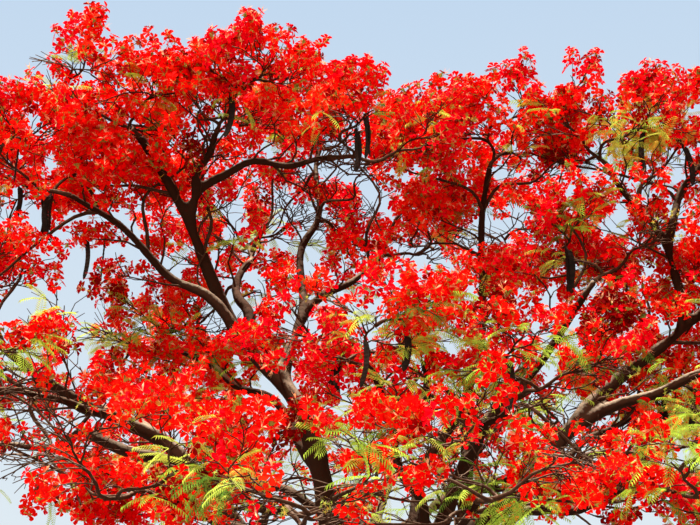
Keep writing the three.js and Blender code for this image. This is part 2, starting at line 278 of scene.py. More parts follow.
class Amount:
    """A number that changes over a surface. Sums and products of it add Math nodes."""

    def __init__(self, nodes, socket):
        self.nodes = nodes
        self.socket = socket

    def join(self, operation, first, second):
        maths = self.nodes.node("ShaderNodeMath", {"operation": operation}, {0: first, 1: second})
        return Amount(self.nodes, maths.outputs[0])

    def __add__(self, other):
        return self.join("ADD", self, other)

    def __radd__(self, other):
        return self.join("ADD", other, self)

    def __sub__(self, other):
        return self.join("SUBTRACT", self, other)

    def __rsub__(self, other):
        return self.join("SUBTRACT", other, self)

    def __mul__(self, other):
        return self.join("MULTIPLY", self, other)

    def __rmul__(self, other):
        return self.join("MULTIPLY", other, self)

    def within(self, low, high):
        return self.join("MINIMUM", self.join("MAXIMUM", self, low), high)


class Nodes:
    """A tree of nodes, for a finish or for growth, in which every node is made by the same call."""

    def __init__(self, tree):
        self.tree = tree

    def node(self, kind, settings=None, sockets=None):
        made = self.tree.nodes.new(kind)
        for name, value in (settings or {}).items():
            setattr(made, name, value)
        for name, value in (sockets or {}).items():
            if isinstance(value, Amount):
                value = value.socket
            if isinstance(value, bpy.types.NodeSocket):
                self.tree.links.new(value, made.inputs[name])
            else:
                made.inputs[name].default_value = value
        return made

    def upward(self, vector):
        """How far up a place is, or a direction points."""
        return Amount(self, self.node("ShaderNodeSeparateXYZ", None, {0: vector}).outputs[2])


class Finish(Nodes):
    """A material whose pattern is fixed to the piece by its Object coordinates."""

    def __init__(self, name):
        self.material = bpy.data.materials.new(name)
        self.material.use_nodes = True
        super().__init__(self.material.node_tree)
        self.tree.nodes.clear()
        self.place = self.node("ShaderNodeTexCoord").outputs["Object"]

    def noise(self, scale, detail=2.0):
        sockets = {"Vector": self.place, "Scale": scale, "Detail": detail}
        return Amount(self, self.node("ShaderNodeTexNoise", None, sockets).outputs[0])

    def blend(self, share, first, second):
        settings = {"data_type": "RGBA"}
        sockets = {0: share, 6: (*first, 1) if isinstance(first, tuple) else first, 7: (*second, 1)}
        return self.node("ShaderNodeMix", settings, sockets).outputs[2]

    def facing_up(self):
        return self.upward(self.node("ShaderNodeNewGeometry").outputs["Normal"])

    def surface(self, sockets, lit_through=0.0, through_colour=None):
        shader = self.node("ShaderNodeBsdfPrincipled", None, sockets).outputs[0]
        if lit_through:
            glow = self.node("ShaderNodeBsdfTranslucent", None, {"Color": through_colour}).outputs[0]
            layers = {0: lit_through, 1: shader, 2: glow}
            shader = self.node("ShaderNodeMixShader", None, layers).outputs[0]
        self.node("ShaderNodeOutputMaterial", None, {"Surface": shader})
        return self.material


class Growth(Nodes):
    """Geometry nodes with named inputs, which end in real faces of one material."""

    def __init__(self, name, inputs):
        super().__init__(bpy.data.node_groups.new(name, "GeometryNodeTree"))
        self.keys = {}
        new_socket = self.tree.interface.new_socket
        new_socket("Geometry", in_out="INPUT", socket_type="NodeSocketGeometry")
        for label, kind in {**inputs, "Material": "Material"}.items():
            socket = new_socket(label, in_out="INPUT", socket_type="NodeSocket" + kind)
            self.keys[label] = socket.identifier
        new_socket("Geometry", in_out="OUTPUT", socket_type="NodeSocketGeometry")
        self.inputs = self.node("NodeGroupInput").outputs

    def named(self, name, kind="FLOAT"):
        settings = {"data_type": kind}
        return self.node("GeometryNodeInputNamedAttribute", settings, {"Name": name}).outputs[0]

    def ends_in(self, geometry):
        real = self.node("GeometryNodeRealizeInstances", None, {"Geometry": geometry}).outputs[0]
        sockets = {"Geometry": real, "Material": self.inputs["Material"]}
        dressed = self.node("GeometryNodeSetMaterial", None, sockets).outputs[0]
        self.node("NodeGroupOutput", None, {"Geometry": dressed})

    def grow(self, piece, values):
        """The piece becomes the plain mesh that the tree makes of it."""
        modifier = piece.modifiers.new("growth", "NODES")
        modifier.node_group = self.tree
        for label, value in values.items():
            modifier[self.keys[label]] = value
        settle(piece)


def settle(piece):
    """What a piece's modifiers show becomes its own mesh."""
    bpy.context.view_layer.update()
    seen = piece.evaluated_get(bpy.context.evaluated_depsgraph_get())
    mesh = bpy.data.meshes.new_from_object(seen)
    piece.modifiers.clear()
    piece.data = mesh


def piece_of(name, points, faces=(), edges=()):
    mesh = bpy.data.meshes.new(name)
    mesh.from_pydata(np.asarray(points).tolist(), edges, faces)
    piece = bpy.data.objects.new(name, mesh)
    bpy.context.scene.collection.objects.link(piece)
    return piece


points, faces = limb_tube(limbs["trunk"], TRUNK_SIDES, TRUNK_RINGS, UNDER_GROUND, CROTCH_RISE)
for mass in masses:
    sides = STOUT_SIDES if mass.limb.start_radius > STOUT_BOUGH else SLIM_SIDES
    more_points, more_faces = limb_tube(mass.limb, sides, BOUGH_RINGS)
    faces += [tuple(corner + len(points) for corner in face) for face in more_faces]
    points = np.concatenate([points, more_points])
bark = piece_of("bark", points, faces)
skin = bark.modifiers.new("skin", "REMESH")
skin.mode = "VOXEL"
skin.voxel_size = SKIN_CELL
skin.use_smooth_shade = True
settle(bark)
skin_points = np.empty(3 * len(bark.data.vertices))
bark.data.vertices.foreach_get("co", skin_points)
skin_points = skin_points.reshape(-1, 3)
fork = limbs["trunk"].point(1.0)
gap = np.linalg.norm(skin_points - fork, axis=1)
softness = np.clip(FORK_SOFTNESS - gap / FORK_REACH, 0, 1)
for mass in masses:
    grip = GRIP_REACH * mass.limb.radius(0.0) + GRIP_SPARE
    gap = np.linalg.norm(skin_points - mass.limb.point(0.0), axis=1)
    softness = np.maximum(softness, np.clip(GRIP_SOFTNESS * (1 - gap / grip), 0, 1))
forks = bark.vertex_groups.new(name="forks")
for level in range(1, SOFTNESS_LEVELS + 1):
    chosen = np.flatnonzero(np.round(SOFTNESS_LEVELS * softness) == level)
    forks.add(chosen.tolist(), level / SOFTNESS_LEVELS, "REPLACE")
rounding = bark.modifiers.new("rounding", "SMOOTH")
rounding.factor = ROUNDING
rounding.iterations = ROUNDING_PASSES
rounding.vertex_group = "forks"
settle(bark)

relief = Growth("bark relief", {"Depth": "Float", "Scale": "Float"})
knots = relief.node(
    "ShaderNodeTexNoise", {"noise_dimensions": "3D"}, {"Scale": relief.inputs["Scale"], "Detail": 3.0}
)
standing_out = (Amount(relief, knots.outputs[0]) - 0.5) * Amount(relief, relief.inputs["Depth"])
normal = relief.node("GeometryNodeInputNormal").outputs[0]
push = relief.node("ShaderNodeVectorMath", {"operation": "SCALE"}, {0: normal, "Scale": standing_out})
moved = relief.node(
    "GeometryNodeSetPosition", None, {"Geometry": relief.inputs["Geometry"], "Offset": push.outputs[0]}
)
relief.ends_in(moved.outputs[0])

bark_finish = Finish("bark")
patches = bark_finish.noise(1.7, 4.0)
grain = bark_finish.noise(26.0, 6.0)
cracks = bark_finish.noise(75.0, 3.0)
# Pale where the surface faces up: dust, and a painted highlight of the sun on the limbs' tops.
dust_and_top_light = (bark_finish.facing_up() * 1.3 + patches * 1.1 + grain * 0.9 - DUST_AND_TOP_LIGHT_FROM).within(0, 1)
height = bark_finish.upward(bark_finish.place)
# Brown low down, near-black higher up, where the dark is partly painted shade of the crown.
brown_below_crown_shade = (BROWN_AT_FOOT - height * BROWN_FADE + patches * 0.5).within(0, 1)
colour = bark_finish.blend(brown_below_crown_shade, DARK_BARK_AND_CROWN_SHADE, BROWN_BARK)
colour = bark_finish.blend(dust_and_top_light, colour, BARK_DUST_AND_TOP_LIGHT)
colour = bark_finish.blend(((cracks - CRACKS_FROM) * 3).within(0, 0.5), colour, CRACK_COLOUR)
rough_height = grain * 0.7 + cracks * 0.3
lumps = bark_finish.node(
    "ShaderNodeBump", None, {"Height": rough_height, "Strength": 0.6, "Distance": LUMP_HEIGHT}
)
bark_material = bark_finish.surface(
    {"Base Color": colour, "Roughness": 0.85, "Specular IOR Level": 0.03, "Normal": lumps.outputs[0]}
)
relief.grow(bark, {"Depth": 2 * KNOT_DEPTH, "Scale": KNOT_SCALE, "Material": bark_material})

cut = bmesh.new()
cut.from_mesh(bark.data)
everything = cut.verts[:] + cut.edges[:] + cut.faces[:]
bmesh.ops.bisect_plane(cut, geom=everything, plane_co=(0, 0, 0), plane_no=(0, 0, -1), clear_outer=True)
rim_edges = [edge for edge in cut.edges if edge.is_boundary]
bmesh.ops.holes_fill(cut, edges=rim_edges, sides=0)
bmesh.ops.triangulate(cut, faces=[face for face in cut.faces if len(face.verts) > 4])
cut.to_mesh(bark.data)
cut.free()
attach(bark, "root")
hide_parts("trunk", *["bough_" + mass.name for mass in masses])

# The framework of each mass
# Where a bough enters its mass it carries on as a stem, and forks into twigs that fill the mass's
# own space without leaving it or touching a limb. The same rule as in the tree's solids.
GOLDEN_TURN = math.pi * (3 - math.sqrt(5))
CELL = np.array([1, 1, 2])
CELL_MARGIN = 0.04
HUB_DROP = 0.35
STEM_STATIONS = (0.5, 0.75, 0.93)
STEM_SWING = 0.04
TWIGS = 5
TWIG_REACH = 0.55
TWIG_REACHES = (0.85, 0.3)  # the least, and what the longest has more
TWIG_LEVELS = (-0.1, 0.4)  # the same for how high the twigs end
TWIG_SWING = 0.06
TWIG_RADIUS = 0.02
TWIG_WIDEST = 0.15
TWIG_STATIONS = (0.4, 0.6, 0.8)
SPRAYS = 12
HIGHEST_SPRAY = 0.96
LOWEST_SPRAY = -0.4
SPRAY_WIDTH = 0.46
SPRAY_THICKNESS = 0.24
SPRAY_WIDEST = 0.6
ROOT_SUNK = 0.003
LIMB_CLEARANCE = 0.012
ROOT_CHOICES = 3
BEAD_SHARES = np.array([0.2, 0.35, 0.5, 0.65, 0.8, 0.95])
SHORTENING = (1, 0.9, 0.8, 0.7, 0.6, 0.5)
LIMB_BEADS = 80
POD_LENGTH = 0.45
POD_WIDTH = 0.052
POD_STATION = 0.5

for mass in masses:
    others = [other for other in masses if other is not mass]
    apart = np.array([(other.middle - mass.middle) * CELL for other in others])
    distance = np.linalg.norm(apart, axis=1)
    spreads = np.array([other.spread for other in others])
    mass.borders = unit(apart)
    mass.border_reach = distance / 2 + (mass.spread**2 - spreads**2) / (2 * distance) - CELL_MARGIN


def in_borders(mass, point, spare=0.0):
    return bool(np.all(mass.borders @ ((point - mass.middle) * CELL) < mass.border_reach + spare))


bead_shares = np.arange(LIMB_BEADS + 1) / LIMB_BEADS
limb_beads = np.concatenate([limb.point(bead_shares) for limb in limbs.values()])
limb_halves = np.concatenate([limb.radius(bead_shares) for limb in limbs.values()])


def blade_corners(root, tip, width, thickness, widest):
    """right, left, tip, root, top and under corners of a blade that is pointed at both ends"""
    direction = unit(tip - root)
    across = unit(np.cross(direction, UP))
    over = np.cross(across, direction)
    middle = root + (tip - root) * widest
    sides = [middle + across * width / 2, middle - across * width / 2]
    return [*sides, tip, root, middle + over * thickness / 2, middle - over * thickness / 2]


def beads_of(corners, widest):
    width = np.linalg.norm(corners[0] - corners[1])
    thickness = np.linalg.norm(corners[4] - corners[5])
    fall = np.minimum(BEAD_SHARES / widest, (1 - BEAD_SHARES) / (1 - widest))
    return corners[3] + (corners[2] - corners[3]) * BEAD_SHARES[:, None], (width + thickness) / 4 * fall


def clear_of(beads, halves, others, other_halves, clearance):
    if len(others) == 0:
        return True
    gaps = np.linalg.norm(beads[:, None] - others[None], axis=2)
    return bool(np.all(gaps > halves[:, None] + other_halves[None] + clearance))


class Shoot:
    """A path from root to tip that sets out partly along the wood it springs from, and wanders."""

    HANDLE = 0.36
    SIDE_WAVES = 2.6  # half waves along it
    RISE_WAVES = 1.7
    RISE_SHARE = 0.7
    STEP = 0.02

    def __init__(self, root, tip, along, phase, swing, follow=1.0):
        self.root = root
        self.tip = tip
        self.chord = tip - root
        self.length = np.linalg.norm(self.chord)
        self.across = unit(np.cross(self.chord, UP))
        self.over = unit(np.cross(self.across, self.chord))
        leaving = unit(self.chord / self.length + follow * along)
        self.pull = leaving * self.HANDLE * self.length - self.chord / 3
        self.phase = phase
        self.swing = swing * self.length

    def point(self, share):
        share = np.asarray(share, float)[..., None]
        wave = self.swing * np.sin(np.pi * share)
        aside = self.across * wave * np.sin(self.SIDE_WAVES * np.pi * share + self.phase)
        rise = self.over * wave * self.RISE_SHARE * np.cos(self.RISE_WAVES * np.pi * share + self.phase)
        aside = aside + rise
        return self.root + self.chord * share + 3 * (1 - share) ** 2 * share * self.pull + aside

    def heading(self, share):
        return unit(self.point(min(share + self.STEP, 1)) - self.point(max(share - self.STEP, 0)))


class Station:
    """A free place on a stem or twig: where the rule puts it, and where it is once the wood bends."""

    def __init__(self, root, tip, shoot, share):
        self.rule = root + (tip - root) * share
        self.wood = shoot.point(share)
        self.heading = shoot.heading(share)


def framework_of(mass):
    """The stem's path, the twigs' paths, the sprays as (station, tip), the pods' (top, turn)."""
    depth = mass.radii[2]
    hub = mass.middle - HUB_DROP * depth * UP
    stem = Shoot(mass.tip, hub, mass.limb.tangent(1.0), mass.order, STEM_SWING)
    stations = [Station(mass.tip, hub, stem, share) for share in STEM_STATIONS]
    twigs = []
    for i in range(TWIGS):
        turn = mass.order + i * GOLDEN_TURN
        least, more = TWIG_REACHES
        reach = TWIG_REACH * mass.spread * (least + more * ((i * 2) % TWIGS) / TWIGS)
        end = mass.middle + UP * depth * (TWIG_LEVELS[0] + TWIG_LEVELS[1] * i / TWIGS)
        end = end + reach * np.array([math.cos(turn), math.sin(turn), 0])
        station = min(stations, key=lambda free: np.linalg.norm(free.rule - end))
        for share in SHORTENING:
            tip = station.rule + (end - station.rule) * share
            corners = blade_corners(station.rule, tip, 2 * TWIG_RADIUS, 2 * TWIG_RADIUS, TWIG_WIDEST)
            beads = beads_of(corners, TWIG_WIDEST)
            if in_borders(mass, tip) and clear_of(*beads, limb_beads, limb_halves, LIMB_CLEARANCE):
                twig = Shoot(station.wood, tip, station.heading, i + mass.order, TWIG_SWING)
                twigs.append((station.rule, tip, twig))
                stations.remove(station)
                stations += [Station(station.rule, tip, twig, along) for along in TWIG_STATIONS]
                break
    sprays = []
    taken = np.zeros((0, 3))
    taken_halves = np.zeros(0)
    for i in range(SPRAYS):
        lift = HIGHEST_SPRAY - (HIGHEST_SPRAY - LOWEST_SPRAY) * (i + 0.5) / SPRAYS
        turn = 2 * mass.order + i * GOLDEN_TURN
        level = math.sqrt(1 - lift * lift)
        outward = np.array([level * math.cos(turn), level * math.sin(turn), lift])
        rim = mass.middle + mass.radii * outward
        roots = sorted(stations, key=lambda free: np.linalg.norm(free.rule - rim))[:ROOT_CHOICES]
        for share, station in [(share, station) for share in SHORTENING for station in roots]:
            tip = station.rule + (rim - station.rule) * share
            sunk = station.rule - unit(tip - station.rule) * ROOT_SUNK
            length = np.linalg.norm(tip - sunk)
            width, thickness = SPRAY_WIDTH * length, SPRAY_THICKNESS * length
            corners = blade_corners(sunk, tip, width, thickness, SPRAY_WIDEST)
            beads = beads_of(corners, SPRAY_WIDEST)
            inside = all(in_borders(mass, corners[corner]) for corner in (0, 1, 2, 4, 5))
            free = clear_of(*beads, limb_beads, limb_halves, LIMB_CLEARANCE)
            if inside and free and clear_of(*beads, taken, taken_halves, 0):
                sprays.append((station, tip))
                taken = np.concatenate([taken, beads[0]])
                taken_halves = np.concatenate([taken_halves, beads[1]])
                stations.remove(station)
                break
    pods = []
    for root, tip, twig in sorted(twigs, key=lambda row: row[1][1]):
        top = root + (tip - root) * POD_STATION
        foot = top - UP * POD_LENGTH
        beads = top + (foot - top) * BEAD_SHARES[:, None]
        halves = np.full(len(beads), POD_WIDTH / 2)
        free = clear_of(beads, halves, limb_beads, limb_halves, LIMB_CLEARANCE)
        if len(pods) < mass.pod_count and in_borders(mass, foot) and free:
            pods.append((twig.point(POD_STATION), mass.order + len(pods)))
    return stem, [twig for _, _, twig in twigs], sprays, pods


# The twigs
# Thin dark wood, wandering and forking: each spray is an axis with side shoots to left and right,
# and each shoot ends in the green stalk of a cluster of flowers.
SIDE_SHARES = (0.22, 0.36, 0.5, 0.62, 0.74, 0.86)
SHOOT_REACH = 0.36
SHOOT_REACHES = (1.15, 0.5)  # at the spray's root, and what is lost by its tip
STALK_LENGTH = 0.17
STALK_ROOM = (1.3, 0.35)  # kept free at a spray's tip, of the stalk's length and at most of its own
TWIG_SHOOT_SHARES = (0.35, 0.5, 0.65, 0.82)
TWIG_SHOOT_LENGTH = 0.3
SHOOT_AHEAD = 0.7
SHOOT_RISE = 0.3
SHOOT_UNRULY = 0.25
SHORTER_SHOOTS = (1.0, 0.75, 0.5)
FORK_SHARE = 0.4
FORK_ASIDE = 0.7
FORK_LENGTH = 0.7
HEAD_RISE = 0.4
SHOOT_HEAD_RISE = 0.5
# Where along its wood a tuft of leaves may sit.
LEAF_SEAT = 0.6
TWIG_LEAF_SEAT = 0.98
AXIS_LEAF_SEATS = (0.12, 0.4)
MASS_FILLED = 0.9
OPEN_HEADS_FROM = 0.55
OPEN_HEADS_SHARE = 0.35
OPEN_HEADS_HEIGHT = 6
# Radii of each kind of wood where it begins and where it ends.
STEM_ROOT_SHARE = 0.95  # of its bough's tip
STEM_TIP_RADIUS = 0.014
TWIG_RADII = (0.017, 0.006)
AXIS_RADII = (0.0095, 0.004)
SHOOT_RADII = (0.0063, 0.0034)
FORK_RADII = (0.005, 0.0028)
STRAND_TAPER = 0.8
STOUT = 0.01
BLOOM_FROM = -0.3
BLOOM_RISE = 0.45
BLOOM_LEAST = 0.1
LOW_RIM_TOP = 5.6
LOW_RIM_DEPTH = 1.6
LOW_RIM_DROOP = 0.55
LOW_RIM_SAG = 0.4
SPENT_SHARE = 0.45
# Only bare twigs cross the head's openings. Each is given where the line of sight from the camera's
# place crosses the upright plane of the trunk: sideways, height and half width.
EYE = np.array([0.0, -12.0, 1.6])
OPENINGS = [
    (-3.23, 8.29, 0.39),
    (-0.14, 7.16, 0.31),
    (-2.49, 5.65, 0.24),
    (1.96, 4.29, 0.19),
    (-2.82, 4.29, 0.26),
    (2.37, 3.97, 0.17),
    (-3.0, 5.84, 0.16),
    (-3.07, 6.73, 0.17),
    (-0.26, 6.58, 0.2),
    (0.73, 6.18, 0.24),
    (1.18, 6.38, 0.22),
    (1.62, 6.58, 0.17),
    (1.98, 4.68, 0.24),
    (2.03, 5.6, 0.11),
    (3.06, 7.14, 0.15),
    (-2.9, 4.68, 0.22),
    (-1.13, 5.6, 0.22),
    (2.82, 4.28, 0.15),
    (-1.56, 6.11, 0.17),
    (-0.6, 6.68, 0.19),
    (0.23, 6.78, 0.16),
]
# Where the masses close up, in the same terms, they are in flower right through.
CLOSED = [
    (0.94, 7.14, 0.5),
    (-2.18, 7.35, 0.52),
    (-3.04, 7.45, 0.48),
    (-2.51, 6.6, 0.42),
    (-1.55, 5.04, 0.44),
    (-0.94, 5.16, 0.4),
    (-2.0, 5.09, 0.31),
    (0.71, 7.09, 0.28),
    (-3.07, 7.19, 0.42),
    (-2.59, 7.09, 0.28),
    (-1.65, 7.14, 0.28),
    (-1.11, 8.15, 0.29),
    (-1.23, 8.7, 0.29),
    (-2.36, 3.88, 0.5),
    (1.93, 3.93, 0.4),
    (2.79, 3.93, 0.4),
    (-1.67, 8.7, 0.4),
    (-0.67, 5.13, 0.35),
    (2.52, 6.08, 0.27),
    (2.94, 5.63, 0.25),
    (-0.22, 5.16, 0.25),
    (2.15, 7.61, 0.27),
    (1.2, 7.69, 0.27),
    (1.57, 5.99, 0.31),
    (-1.72, 3.91, 0.34),
    (-2.53, 6.21, 0.22),
    (-1.74, 8.2, 0.27),
    (-0.66, 4.68, 0.26),
    (-1.14, 5.27, 0.25),
    (2.48, 5.6, 0.23),
    (-2.24, 4.01, 0.26),
]
# Where the limbs show through, flowers are few.
THINNED = [
    (-1.3, 4.23, 0.54),
    (-0.56, 4.23, 0.36),
    (0.04, 4.37, 0.34),
    (0.48, 4.28, 0.3),
    (1.54, 4.68, 0.26),
    (2.43, 4.23, 0.36),
    (2.89, 4.54, 0.31),
    (-2.91, 5.37, 0.43),
    (-2.42, 5.41, 0.36),
    (0.76, 5.13, 0.25),
    (2.67, 7.61, 0.27),
]
THINNED_SHARE = 0.4
# Here tufts of leaves stand clear of the blossom.
LEAFY = [
    (-2.93, 5.6, 0.23),
    (-2.06, 5.6, 0.25),
    (-1.54, 5.29, 0.21),
    (2.64, 7.47, 0.32),
    (0.68, 5.55, 0.31),
    (0.22, 4.68, 0.21),
    (1.54, 4.68, 0.18),
    (2.85, 4.65, 0.3),
    (2.73, 4.14, 0.35),
    (-1.47, 4.17, 0.29),
    (-1.06, 4.28, 0.19),
    (0.69, 3.91, 0.26),
    (1.12, 3.91, 0.26),
    (1.55, 3.91, 0.24),
    (0.24, 7.77, 0.17),
]
LEAFY_BLOOM_SHARE = 0.5
# Flowers are few in front of the stout parts of the boughs, too.
STOUT_LIMB = 0.036
LIMB_SHOWN = 0.13
FLOWERS_ABOVE = 0.08
BEFORE_LIMB_SHARE = 0.22
chance = np.random.default_rng(41)
stems = []  # each a row of points and their radii
twigs_and_shoots = []  # the same, for the fine wood
clusters = []  # each (base, direction, spray, whether it is an open head)
spent_heads = []  # each (base, direction, spray)
leaf_seats = []  # each (place, direction, spray)
pod_seats = []  # each (top, turn)
spray_number = 0


def vary(least, more):
    """A random amount between least and least + more."""
    return least + more * chance.random()


def strand(path, radii, stations):
    """A path becomes wood of so many stations, stout or fine."""
    shares = np.linspace(0, 1, stations)
    thick, thin = radii
    row = (path.point(shares), thick + (thin - thick) * shares**STRAND_TAPER)
    (stems if thick > STOUT else twigs_and_shoots).append(row)


def head_on(shoot, rise=HEAD_RISE):
    """Where a shoot's head of flowers starts, and the way it points."""
    return shoot.tip, unit(shoot.heading(1.0) + rise * UP)


def crossings(places):
    """Where the lines of sight to some places cross the upright plane of the trunk."""
    return EYE + (places - EYE) * (EYE[1] / (EYE[1] - places[..., 1:2]))


def seen_in(place, circles):
    """Whether the line of sight to a place crosses one of the circles."""
    crossing = crossings(place)
    return any(math.hypot(crossing[0] - x, crossing[2] - z) < half for x, z, half in circles)


def closes_up(place):
    """Whether a shoot bears more than its one cluster there."""
    return seen_in(place, CLOSED) and not seen_in(place, OPENINGS)


def before_limb(place):
    """Whether flowers at a place would hide a stout limb behind them from the camera."""
    gaps = stout_crossings - crossings(place + FLOWERS_ABOVE * UP)
    near = np.hypot(gaps[:, 0], gaps[:, 2]) < stout_halves + LIMB_SHOWN
    return bool(np.any(near & (stout_beads[:, 1] > place[1])))


stout = limb_halves > STOUT_LIMB
stout_beads = limb_beads[stout]
stout_halves = limb_halves[stout]
stout_crossings = crossings(stout_beads)


def in_bloom(mass, place):
    """The sunny upper side of a mass is full of flowers, its shaded underside is mostly bare wood. The
    lowest masses, out at the rim, stand in the light and bloom lower down."""
    high = (place[2] - mass.middle[2]) / mass.radii[2]
    share = (high - BLOOM_FROM + LOW_RIM_DROOP * low_rim(mass)) / BLOOM_RISE
    share = 1 if seen_in(place, CLOSED) else min(max(share, BLOOM_LEAST), 1)
    return not seen_in(place, OPENINGS) and chance.random() < thinned(place) * share


def thinned(place):
    """The share of flowers that is left at a place, seen from the camera."""
    share = THINNED_SHARE if seen_in(place, THINNED) else 1
    share = LEAFY_BLOOM_SHARE if seen_in(place, LEAFY) else share
    return share * (BEFORE_LIMB_SHARE if before_limb(place) else 1)


def low_rim(mass):
    """From 0 for a mass up in the head to 1 for one at its lowest rim."""
    return min(max((LOW_RIM_TOP - mass.middle[2]) / LOW_RIM_DEPTH, 0), 1)


def fits(mass, place):
    inside = np.linalg.norm((place - mass.middle) / mass.radii) < MASS_FILLED
    return inside and in_borders(mass, place, CELL_MARGIN)


def side_shoot(mass, parent, share, length, open_head):
    """One shoot off a spray's axis or a twig, shortened until it stays in its mass's space."""
    base = parent.point(share)
    ahead = parent.heading(share)
    across = unit(np.cross(ahead, UP))
    side = chance.choice((-1, 1)) if len(clusters) % 3 == 0 else (-1) ** len(clusters)
    sideways = side * across * vary(0.5, 0.5)
    rise = SHOOT_RISE - LOW_RIM_SAG * low_rim(mass)
    heading = unit(ahead * SHOOT_AHEAD + sideways + UP * chance.normal(rise, SHOOT_UNRULY))
    for shortening in SHORTER_SHOOTS:
        tip = base + heading * length * shortening
        if fits(mass, tip):
            shoot = Shoot(base, tip, ahead, spray_number + share, swing=0.08, follow=0.8)
            strand(shoot, SHOOT_RADII, stations=4)
            if in_bloom(mass, tip):
                clusters.append((*head_on(shoot, SHOOT_HEAD_RISE), spray_number, open_head))
            elif chance.random() < SPENT_SHARE and not seen_in(tip, OPENINGS):
                spent_heads.append((*head_on(shoot, SHOOT_HEAD_RISE), spray_number))
            leaf_seats.append((shoot.point(LEAF_SEAT), heading, spray_number))
            last_fork(mass, shoot, length * shortening)
            return


def last_fork(mass, shoot, length):
    """A last fork of a shoot, bare but where the head closes up."""
    base = shoot.point(FORK_SHARE)
    ahead = shoot.heading(FORK_SHARE)
    heading = unit(ahead + FORK_ASIDE * unit(chance.normal(size=3)))
    tip = base + heading * length * FORK_LENGTH
    if fits(mass, tip):
        fork = Shoot(base, tip, ahead, spray_number, swing=0.08, follow=0.6)
        strand(fork, FORK_RADII, stations=3)
        if closes_up(tip):
            clusters.append((*head_on(fork, SHOOT_HEAD_RISE), spray_number, False))


for mass in masses:
    stem, twigs, sprays, pods = framework_of(mass)
    pod_seats += pods
    strand(stem, (mass.limb.tip_radius * STEM_ROOT_SHARE, STEM_TIP_RADIUS), stations=8)
    for twig in twigs:
        spray_number += 1
        strand(twig, TWIG_RADII, stations=9)
        leaf_seats.append((twig.point(TWIG_LEAF_SEAT), twig.heading(1.0), spray_number))
        for share in TWIG_SHOOT_SHARES:
            side_shoot(mass, twig, share, TWIG_SHOOT_LENGTH, False)
    for station, tip in sprays:
        spray_number += 1
        length = np.linalg.norm(tip - station.wood)
        direction = unit(tip - station.wood)
        end = tip - direction * min(STALK_ROOM[0] * STALK_LENGTH, STALK_ROOM[1] * length)
        axis = Shoot(station.wood, end, station.heading, spray_number, swing=0.07)
        strand(axis, AXIS_RADII, stations=8)
        high = (tip[2] - mass.middle[2]) / mass.radii[2]
        open_head = high > OPEN_HEADS_FROM and chance.random() < OPEN_HEADS_SHARE
        open_head = open_head and mass.middle[2] > OPEN_HEADS_HEIGHT
        if in_bloom(mass, end):
            clusters.append((*head_on(axis), spray_number, open_head))
        leaf_seats += [(axis.point(share), direction, spray_number) for share in AXIS_LEAF_SEATS]
        for share in SIDE_SHARES:
            reach = length * SHOOT_REACH * (SHOOT_REACHES[0] - SHOOT_REACHES[1] * share)
            side_shoot(mass, axis, share, reach, open_head)

# The side twigs of the boughs
# Short forked twigs along the outer half of each bough, some in flower and some nearly bare.
BOUGH_TWIG_SHARES = (0.42, 0.5, 0.57, 0.64, 0.71, 0.77, 0.83, 0.89, 0.95)
BOUGH_TWIG_REACH = (0.45, 0.8)
BOUGH_TWIG_RADII = (0.012, 0.004)
BOUGH_TWIG_TURN = 2.4
BOUGH_TWIG_STRAY = 0.3
BOUGH_TWIG_AHEAD = 0.6
BOUGH_TWIG_LIFT = (0.35, 0.65)  # more of them rise than hang
BOUGH_SHOOT_AHEAD = 0.6
BOUGH_SHOOT_ASIDE = 0.7
BOUGH_SHOOT_RISE = (0.15, 0.3)  # the mean, and how much it differs
BOUGH_SHOOT_SHARES = (0.45, 0.62, 0.78, 0.9)
BOUGH_SHOOT_REACH = 0.42
LIMB_ROOM = 0.05
RAISED_FROM = 0.12
RAISED_SHARE = 0.75


def near_limb(place, own=False):
    """Whether a place is close to a limb, apart from its own."""
    gaps = np.linalg.norm(limb_beads - place, axis=1) - limb_halves
    return bool(np.any((gaps < LIMB_ROOM) & ~np.asarray(own)))


def second_head(shoot):
    """Where the head closes up, a shoot bears another cluster from its middle."""
    place = shoot.point(0.5)
    if closes_up(place):
        clusters.append((place, unit(unit(chance.normal(size=3)) + 0.4 * UP), spray_number, False))


